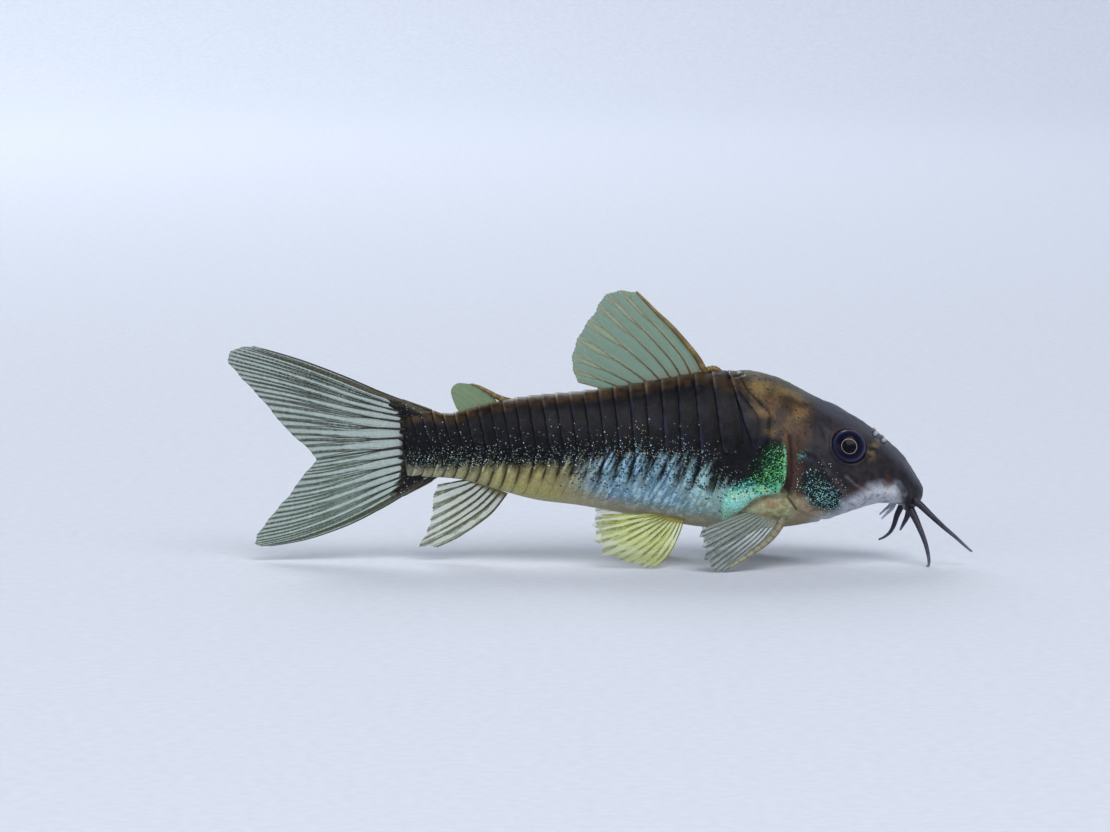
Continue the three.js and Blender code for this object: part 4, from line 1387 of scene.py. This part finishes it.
for side, side_name in SIDES:
    lines = (PECTORAL_ROOT, PECTORAL_EDGE, PECTORAL_LEAD)
    pectoral = fan(*(turned(line, side) for line in lines))
    facing = turned([PECTORAL_FACING], side)[0]
    web_piece(
        f"pectoral_web_{side_name}", pectoral, PECTORAL_RAYS, facing, pectoral_web,
        f"pectoral_fin_{side_name}", crowd=PECTORAL_CROWD, ripple=0.01, notch=0.006, ragged=0.08,
    )
    feet = even_feet(PECTORAL_RAYS, 0.8, first=1, crowd=PECTORAL_CROWD)
    ray_piece(
        f"pectoral_rays_{side_name}", pectoral, feet, 0.08, facing, pectoral_ray,
        forks=(0.35, 0.65), tip=0.94,
    )
    spine_tubes = ((turned(PECTORAL_SPINE, side), (0.42, 0.1), 12, 30),)
    tube_piece(
        f"pectoral_spine_bone_{side_name}", spine_tubes, facing, pale_spine,
        (f"pectoral_spine_{side_name}",), flat=0.7,
    )

    pelvic = fan(*(turned(line, side) for line in (PELVIC_ROOT, PELVIC_EDGE, PELVIC_LEAD)))
    facing = turned([PELVIC_FACING], side)[0]
    web_piece(
        f"pelvic_web_{side_name}", pelvic, PELVIC_RAYS, facing, pelvic_web,
        f"pelvic_fin_{side_name}", ripple=0.006, notch=0.006, ragged=0.1,
    )
    feet = even_feet(PELVIC_RAYS, 0.9, start=0.01, span=0.98)
    ray_piece(
        f"pelvic_rays_{side_name}", pelvic, feet, 0.065, facing, pelvic_ray, "yellow_fin",
        forks=(0.3, 0.6), tip=0.93,
    )

# %% [markdown]
# Barbels are soft feelers at the corners of the mouth, dark above and paler at the sides.
# Each is a tube along a smooth curve that thins to a blunt tip, rooted inside the lip.

# %% Barbels
BARBEL_FACING = (0.1, 1, 0.05)
TASTE_BUD = 0.2 * MM  # real buds are a quarter as wide, too fine to show
BARBELS = {
    "upper_right": [
        (29.2, -1.6, 6.5), (30.3, -2.3, 5.8), (31.5, -2.9, 4.7), (32.6, -3.2, 3.7),
        (33.8, -3.5, 2.7), (34.8, -3.7, 1.8), (35.35, -3.8, 1.35),
    ],
    "lower_right": [
        (29.3, -1.4, 5.7), (29.9, -2.2, 4.6), (30.4, -2.9, 3.5), (30.9, -3.5, 2.2),
        (31.2, -3.9, 0.9), (31.2, -4.3, 0.22), (31, -4.9, 0.18),
    ],
    "upper_left": [
        (29.6, 1.9, 6.3), (29.15, 2.8, 5.3), (28.6, 3.1, 4.1), (28.3, 3.2, 3.1),
        (27.95, 3.3, 2.4), (27.4, 3.4, 1.9), (26.8, 3.5, 1.6),
    ],
    "lower_left": [(29.8, 1.0, 5.6), (29.5, 1.5, 4.2), (29.1, 1.8, 3.3), (28.8, 1.9, 2.7)],
}
CHIN_BARBEL = [(28.4, 0.9, 6.4), (27.9, 1.3, 5.3), (27.3, 1.6, 4.7), (26.8, 1.8, 4.2)]


def barbel_skin(name, root, middle, tip):
    material, tree = start_material(name)
    place = add(tree, "TexCoord").outputs["Object"]
    run = add(tree, "Attribute", attribute_name="run").outputs["Fac"]
    base = ramp(tree, run, ((0.0, root), (0.5, middle), (1.0, tip)))
    grain = add(tree, "TexNoise", {"Vector": place, "Scale": 1 / TASTE_BUD, "Detail": 4.0})
    shade = add(tree, "MapRange", (grain, 0.3, 0.7, 0.6, 1.4))
    colour = add(tree, "VectorMath", (base, shade), operation="MULTIPLY")
    normal = add(tree, "Bump", {"Height": grain, "Strength": 0.4, "Distance": 0.04 * MM})
    return finish_material(material, {
        "Base Color": colour, "Roughness": 0.4, "Normal": normal,
        "IOR": 1.36, "Specular IOR Level": 0.35,
        "Subsurface Weight": 0.1, "Subsurface Radius": (0.6 * MM, 0.4 * MM, 0.3 * MM),
    })


barbel_material = barbel_skin("soft_barbel_skin", "#262229", "#353444", "#66687f")
pale_barbel = barbel_skin("pale_chin_barbel_skin", "#8f92a0", "#9a9eac", "#b0b4c2")
for name, points in BARBELS.items():
    tubes = ((points, (0.5, 0.09, 0.55), 14, 44),)
    nodes = (f"barbel_{name}",)
    tube_piece(f"feeler_{name}", tubes, BARBEL_FACING, barbel_material, nodes)
for side, side_name in SIDES:
    tubes = ((turned(CHIN_BARBEL, side), (0.24, 0.07), 12, 20),)
    nodes = (f"chin_barbel_{side_name}",)
    tube_piece(f"chin_feeler_{side_name}", tubes, BARBEL_FACING, pale_barbel, nodes)

# %% [markdown]
# The eye is a shallow dome with a black-blue pupil, a thin gold ring round it, a violet iris
# and a paler rim. The material draws these rings by each point's distance from the axis of
# the eye, which the mesh carries as an attribute, and it lays a clear wet coat over them.

# %% The eye's rings
IRIS_FLECK = 0.25 * MM
EYE_RINGS = (
    (0.0, "#04040b"), (0.38, "#07081a"), (0.425, "#0c0c1c"), (0.438, "#a08f78"),
    (0.452, "#a08f78"), (0.468, "#07071a"), (0.68, "#0a0a1c"), (0.8, "#161630"),
    (0.88, "#30324f"), (0.94, "#3e415c"), (1.0, "#201f28"),
)


def eye_material():
    material, tree = start_material("wet_eye")
    ring = add(tree, "Attribute", attribute_name="ring").outputs["Fac"]
    place = add(tree, "TexCoord").outputs["Object"]
    flecks = add(tree, "TexNoise", {"Vector": place, "Scale": 1 / IRIS_FLECK, "Detail": 4.0})
    shift = add(tree, "MapRange", (flecks, 0.0, 1.0, -0.02, 0.02))
    moved_ring = add(tree, "Math", (ring, shift), operation="ADD")
    rings = ramp(tree, moved_ring, EYE_RINGS)
    return finish_material(material, {
        "Base Color": rings, "Roughness": 0.3, "IOR": 1.36, "Specular IOR Level": 0.08,
        "Coat Weight": 0.1, "Coat Roughness": 0.03,
    })


eye_finish = eye_material()
print("rings on the eye:", len(EYE_RINGS))

# %% [markdown]
# The eyeball is turned as a wooden bead is: half an outline is spun round its axis and the
# doubled vertices at the poles are merged. Then the bead is tipped to lie in the head, while
# the pupil's rings are shifted to look straight out to the side, as a living eye turns.

# %% Eyes
EYE_DEPTH = 1.2
EYE_STEPS = 40
EYE_SEGMENTS = 64
EYE_MARGIN = 1.03
LOOK = (0.02, 1.0, 0.16)


def spin_profile(bm, corners, segments, reach):
    profile = [bm.verts.new(corner) for corner in corners]
    edges = [bm.edges.new(pair) for pair in zip(profile[:-1], profile[1:])]
    bmesh.ops.spin(
        bm, geom=profile + edges, axis=(0, 0, 1), cent=(0, 0, 0), angle=2 * math.pi,
        steps=segments, use_merge=True,
    )
    bmesh.ops.remove_doubles(bm, verts=bm.verts, dist=reach)


def eye_corner(step):
    polar = math.pi * step / EYE_STEPS
    radius = EYE_RADIUS * EYE_MARGIN * math.sin(polar)
    return radius * MM, 0, EYE_DEPTH * math.cos(polar) * MM


def mark_rings(bm, facing, gaze, layer):
    for vert in bm.verts:
        aside = (vert.co - vert.co.dot(gaze) * gaze).length / (EYE_RADIUS * MM)
        share = min(max((vert[layer] - 0.5) / 0.4, 0), 1)
        if vert.co.dot(facing) > 0:
            vert[layer] = aside + (vert[layer] - aside) * share


for side, side_name in SIDES:
    bm = bmesh.new()
    spin_profile(bm, [eye_corner(step) for step in range(EYE_STEPS + 1)], EYE_SEGMENTS, 0.0005 * MM)
    layer = bm.verts.layers.float.new("ring")
    for vert in bm.verts:
        front = vert.co.z > 0
        vert[layer] = min(math.hypot(vert.co.x, vert.co.y) / (EYE_RADIUS * MM), 1.0) if front else 1.0
    facing = Vector((EYE_FACING[0], side * EYE_FACING[1], EYE_FACING[2]))
    turn = Vector((0, 0, 1)).rotation_difference(facing).to_matrix()
    bmesh.ops.rotate(bm, cent=(0, 0, 0), matrix=turn, verts=bm.verts)
    gaze = Vector((LOOK[0], side * LOOK[1], LOOK[2])).normalized()
    mark_rings(bm, facing, gaze, layer)
    bmesh.ops.translate(bm, vec=Vector((EYE_X, side * EYE_Y, EYE_Z)) * MM, verts=bm.verts)
    finish_piece(f"eyeball_{side_name}", bm, eye_finish, (f"eye_{side_name}",))

# %% [markdown]
# Each nostril has a small flap of skin like a short open tube. Two per side stand just
# clear of the snout's outline. A ring is extruded upwards and flared to make each one.

# %% Nostril flaps
FLAP_SIDES, FLAP_RADIUS, FLAP_STEPS = 14, 0.2, 3
FLAP_HEIGHTS = (0.42, 0.36)
FLAP_THICKNESS = 0.07


def raise_flap(bm, base, normal, tall, run_layer):
    ring = bmesh.ops.create_circle(bm, segments=FLAP_SIDES, radius=FLAP_RADIUS * MM)["verts"]
    spin = Vector((0, 0, 1)).rotation_difference(Vector(normal)).to_matrix()
    bmesh.ops.rotate(bm, cent=(0, 0, 0), matrix=spin, verts=ring)
    bmesh.ops.translate(bm, vec=Vector(base - normal * 0.12) * MM, verts=ring)
    edges = list(dict.fromkeys(edge for vert in ring for edge in vert.link_edges))
    for step in range(FLAP_STEPS):
        out = bmesh.ops.extrude_edge_only(bm, edges=edges)["geom"]
        edges = [item for item in out if isinstance(item, bmesh.types.BMEdge)]
        fresh = [item for item in out if isinstance(item, bmesh.types.BMVert)]
        bmesh.ops.translate(bm, vec=Vector(normal) * tall * MM / FLAP_STEPS, verts=fresh)
        centre = sum((vert.co for vert in fresh), Vector()) / len(fresh)
        for vert in fresh:
            vert.co = centre + (vert.co - centre) * (1.06 if step == FLAP_STEPS - 1 else 0.94)
            vert[run_layer] = 0.3 + 0.25 * step


bm = bmesh.new()
run_layer = bm.verts.layers.float.new("run")
for side in (-1, 1):
    for (nx, nh), tall in zip(NOSTRILS, FLAP_HEIGHTS):
        turn = turn_at(np.array([nx]), np.array([nh]))
        base = body_point(turn, np.array([nx]))[0] * (1, side, 1)
        normal = body_normal(turn, np.array([nx]))[0] * (1, side, 1)
        raise_flap(bm, base, normal, tall, run_layer)
bmesh.ops.recalc_face_normals(bm, faces=bm.faces)
bmesh.ops.solidify(bm, geom=list(bm.faces), thickness=FLAP_THICKNESS * MM)
finish_piece("nostril_flaps", bm, pale_barbel, ())

# %% [markdown]
# The studio is a pale paper bowl, so the floor curves up into a backdrop on every side. An
# outline of floor and wall is spun round to make it, as the eyes were made, and its faces
# are turned upwards to the light.

# %% The paper bowl
BOWL_RADIUS = 0.75
BOWL_CURVE = 0.25
BOWL_HEIGHT = 0.7
BOWL_STEPS = 12
BOWL_SEGMENTS = 96
PAPER_CLOUD = MM / 0.9  # how a sheet's pulp clumps, because its fibres are too fine to show

material, tree = start_material("pale_paper_floor")
place = add(tree, "TexCoord").outputs["Object"]
pulp = add(tree, "TexNoise", {"Vector": place, "Scale": 1 / PAPER_CLOUD, "Detail": 3.0})
paper = ramp(tree, pulp, ((0.3, "#c2c7d2"), (0.7, "#c9ced8")))
finish_material(material, {"Base Color": paper, "Roughness": 0.85})

corners = [(0, 0, 0), (BOWL_RADIUS, 0, 0)]
for step in range(1, BOWL_STEPS + 1):
    angle = math.pi / 2 * step / BOWL_STEPS
    out = BOWL_RADIUS + BOWL_CURVE * math.sin(angle)
    corners.append((out, 0, BOWL_CURVE * (1 - math.cos(angle))))
corners.append((BOWL_RADIUS + BOWL_CURVE, 0, BOWL_HEIGHT))
bm = bmesh.new()
spin_profile(bm, corners, BOWL_SEGMENTS, 1e-6)
bmesh.ops.recalc_face_normals(bm, faces=bm.faces)
if sum(face.normal.z * face.calc_area() for face in bm.faces) < 0:
    bmesh.ops.reverse_faces(bm, faces=bm.faces)
floor_mesh = bpy.data.meshes.new("studio_floor")
bm.to_mesh(floor_mesh)
bm.free()
floor_mesh.polygons.foreach_set("use_smooth", [True] * len(floor_mesh.polygons))
floor_mesh.materials.append(material)
floor = bpy.data.objects.new("studio_floor", floor_mesh)
bpy.context.scene.collection.objects.link(floor)
print("the bowl is", 2 * (BOWL_RADIUS + BOWL_CURVE), "m across")

# %% [markdown]
# Three large soft lamps light the fish: one high in front for the form, one from behind for
# the rim, and a weak one at the other side. Large lamps give a wet skin broad, soft lights.
# The Standard view shows each colour as it was mixed, with no film look over it.

# %% Lamps
LAMPS = (
    ("key_lamp", (0.3, -0.56, 0.84), 0.7, 9.0, (1.0, 0.99, 0.98)),
    ("back_lamp", (-0.25, 0.75, 0.5), 0.5, 4.4, (0.92, 0.96, 1.0)),
    ("fill_lamp", (-0.35, -0.35, 0.12), 0.4, 0.6, (0.95, 0.97, 1.0)),
)
LAMP_TARGET = Vector((0.0, 0, 0.01))
for name, place, size, power, colour in LAMPS:
    data = bpy.data.lights.new(name, "AREA")
    data.size = size
    data.energy = power
    data.color = colour
    lamp = bpy.data.objects.new(name, data)
    lamp.location = place
    lamp.rotation_euler = (LAMP_TARGET - Vector(place)).to_track_quat("-Z", "Y").to_euler()
    bpy.context.scene.collection.objects.link(lamp)
world = bpy.data.worlds.new("studio_air")
world.use_nodes = True
world.node_tree.nodes["Background"].inputs["Color"].default_value = rgba("#dfe6f2")
world.node_tree.nodes["Background"].inputs["Strength"].default_value = 0.25
bpy.context.scene.world = world
bpy.context.scene.view_settings.view_transform = "Standard"
print("lamps:", len(LAMPS))

# %% [markdown]
# The camera stands where the photo was taken from, six degrees above the side of the fish.
# The photo's scale in pixels to the millimetre gives the width that the picture takes in,
# and with the distance that gives the lens. The pixel at which the fish's origin lies says
# how far to shift the camera sideways and up.

# %% Camera
PIXELS_PER_MM = 10.5
IMAGE_WIDTH, IMAGE_HEIGHT = 1110, 832
ORIGIN_PIXEL = (598.5, 561)
DISTANCE = 0.6
SENSOR_WIDTH = 36
camera_data = bpy.data.cameras.new("camera")
camera_data.sensor_width = SENSOR_WIDTH
camera_data.lens = SENSOR_WIDTH * DISTANCE / (IMAGE_WIDTH / PIXELS_PER_MM * MM)
camera = bpy.data.objects.new("camera", camera_data)
across = (IMAGE_WIDTH / 2 - ORIGIN_PIXEL[0]) / PIXELS_PER_MM * MM
upward = (ORIGIN_PIXEL[1] - IMAGE_HEIGHT / 2) / PIXELS_PER_MM * MM
back = Vector((0, -math.cos(VIEW_ANGLE), math.sin(VIEW_ANGLE)))
up = Vector((0, math.sin(VIEW_ANGLE), math.cos(VIEW_ANGLE)))
camera.location = Vector((across, 0, 0)) + up * upward + back * DISTANCE
camera.rotation_euler = back.to_track_quat("Z", "Y").to_euler()
bpy.context.scene.collection.objects.link(camera)
bpy.context.scene.camera = camera
print("lens", round(camera_data.lens), "mm, camera", round(camera.location.z, 3), "m up")
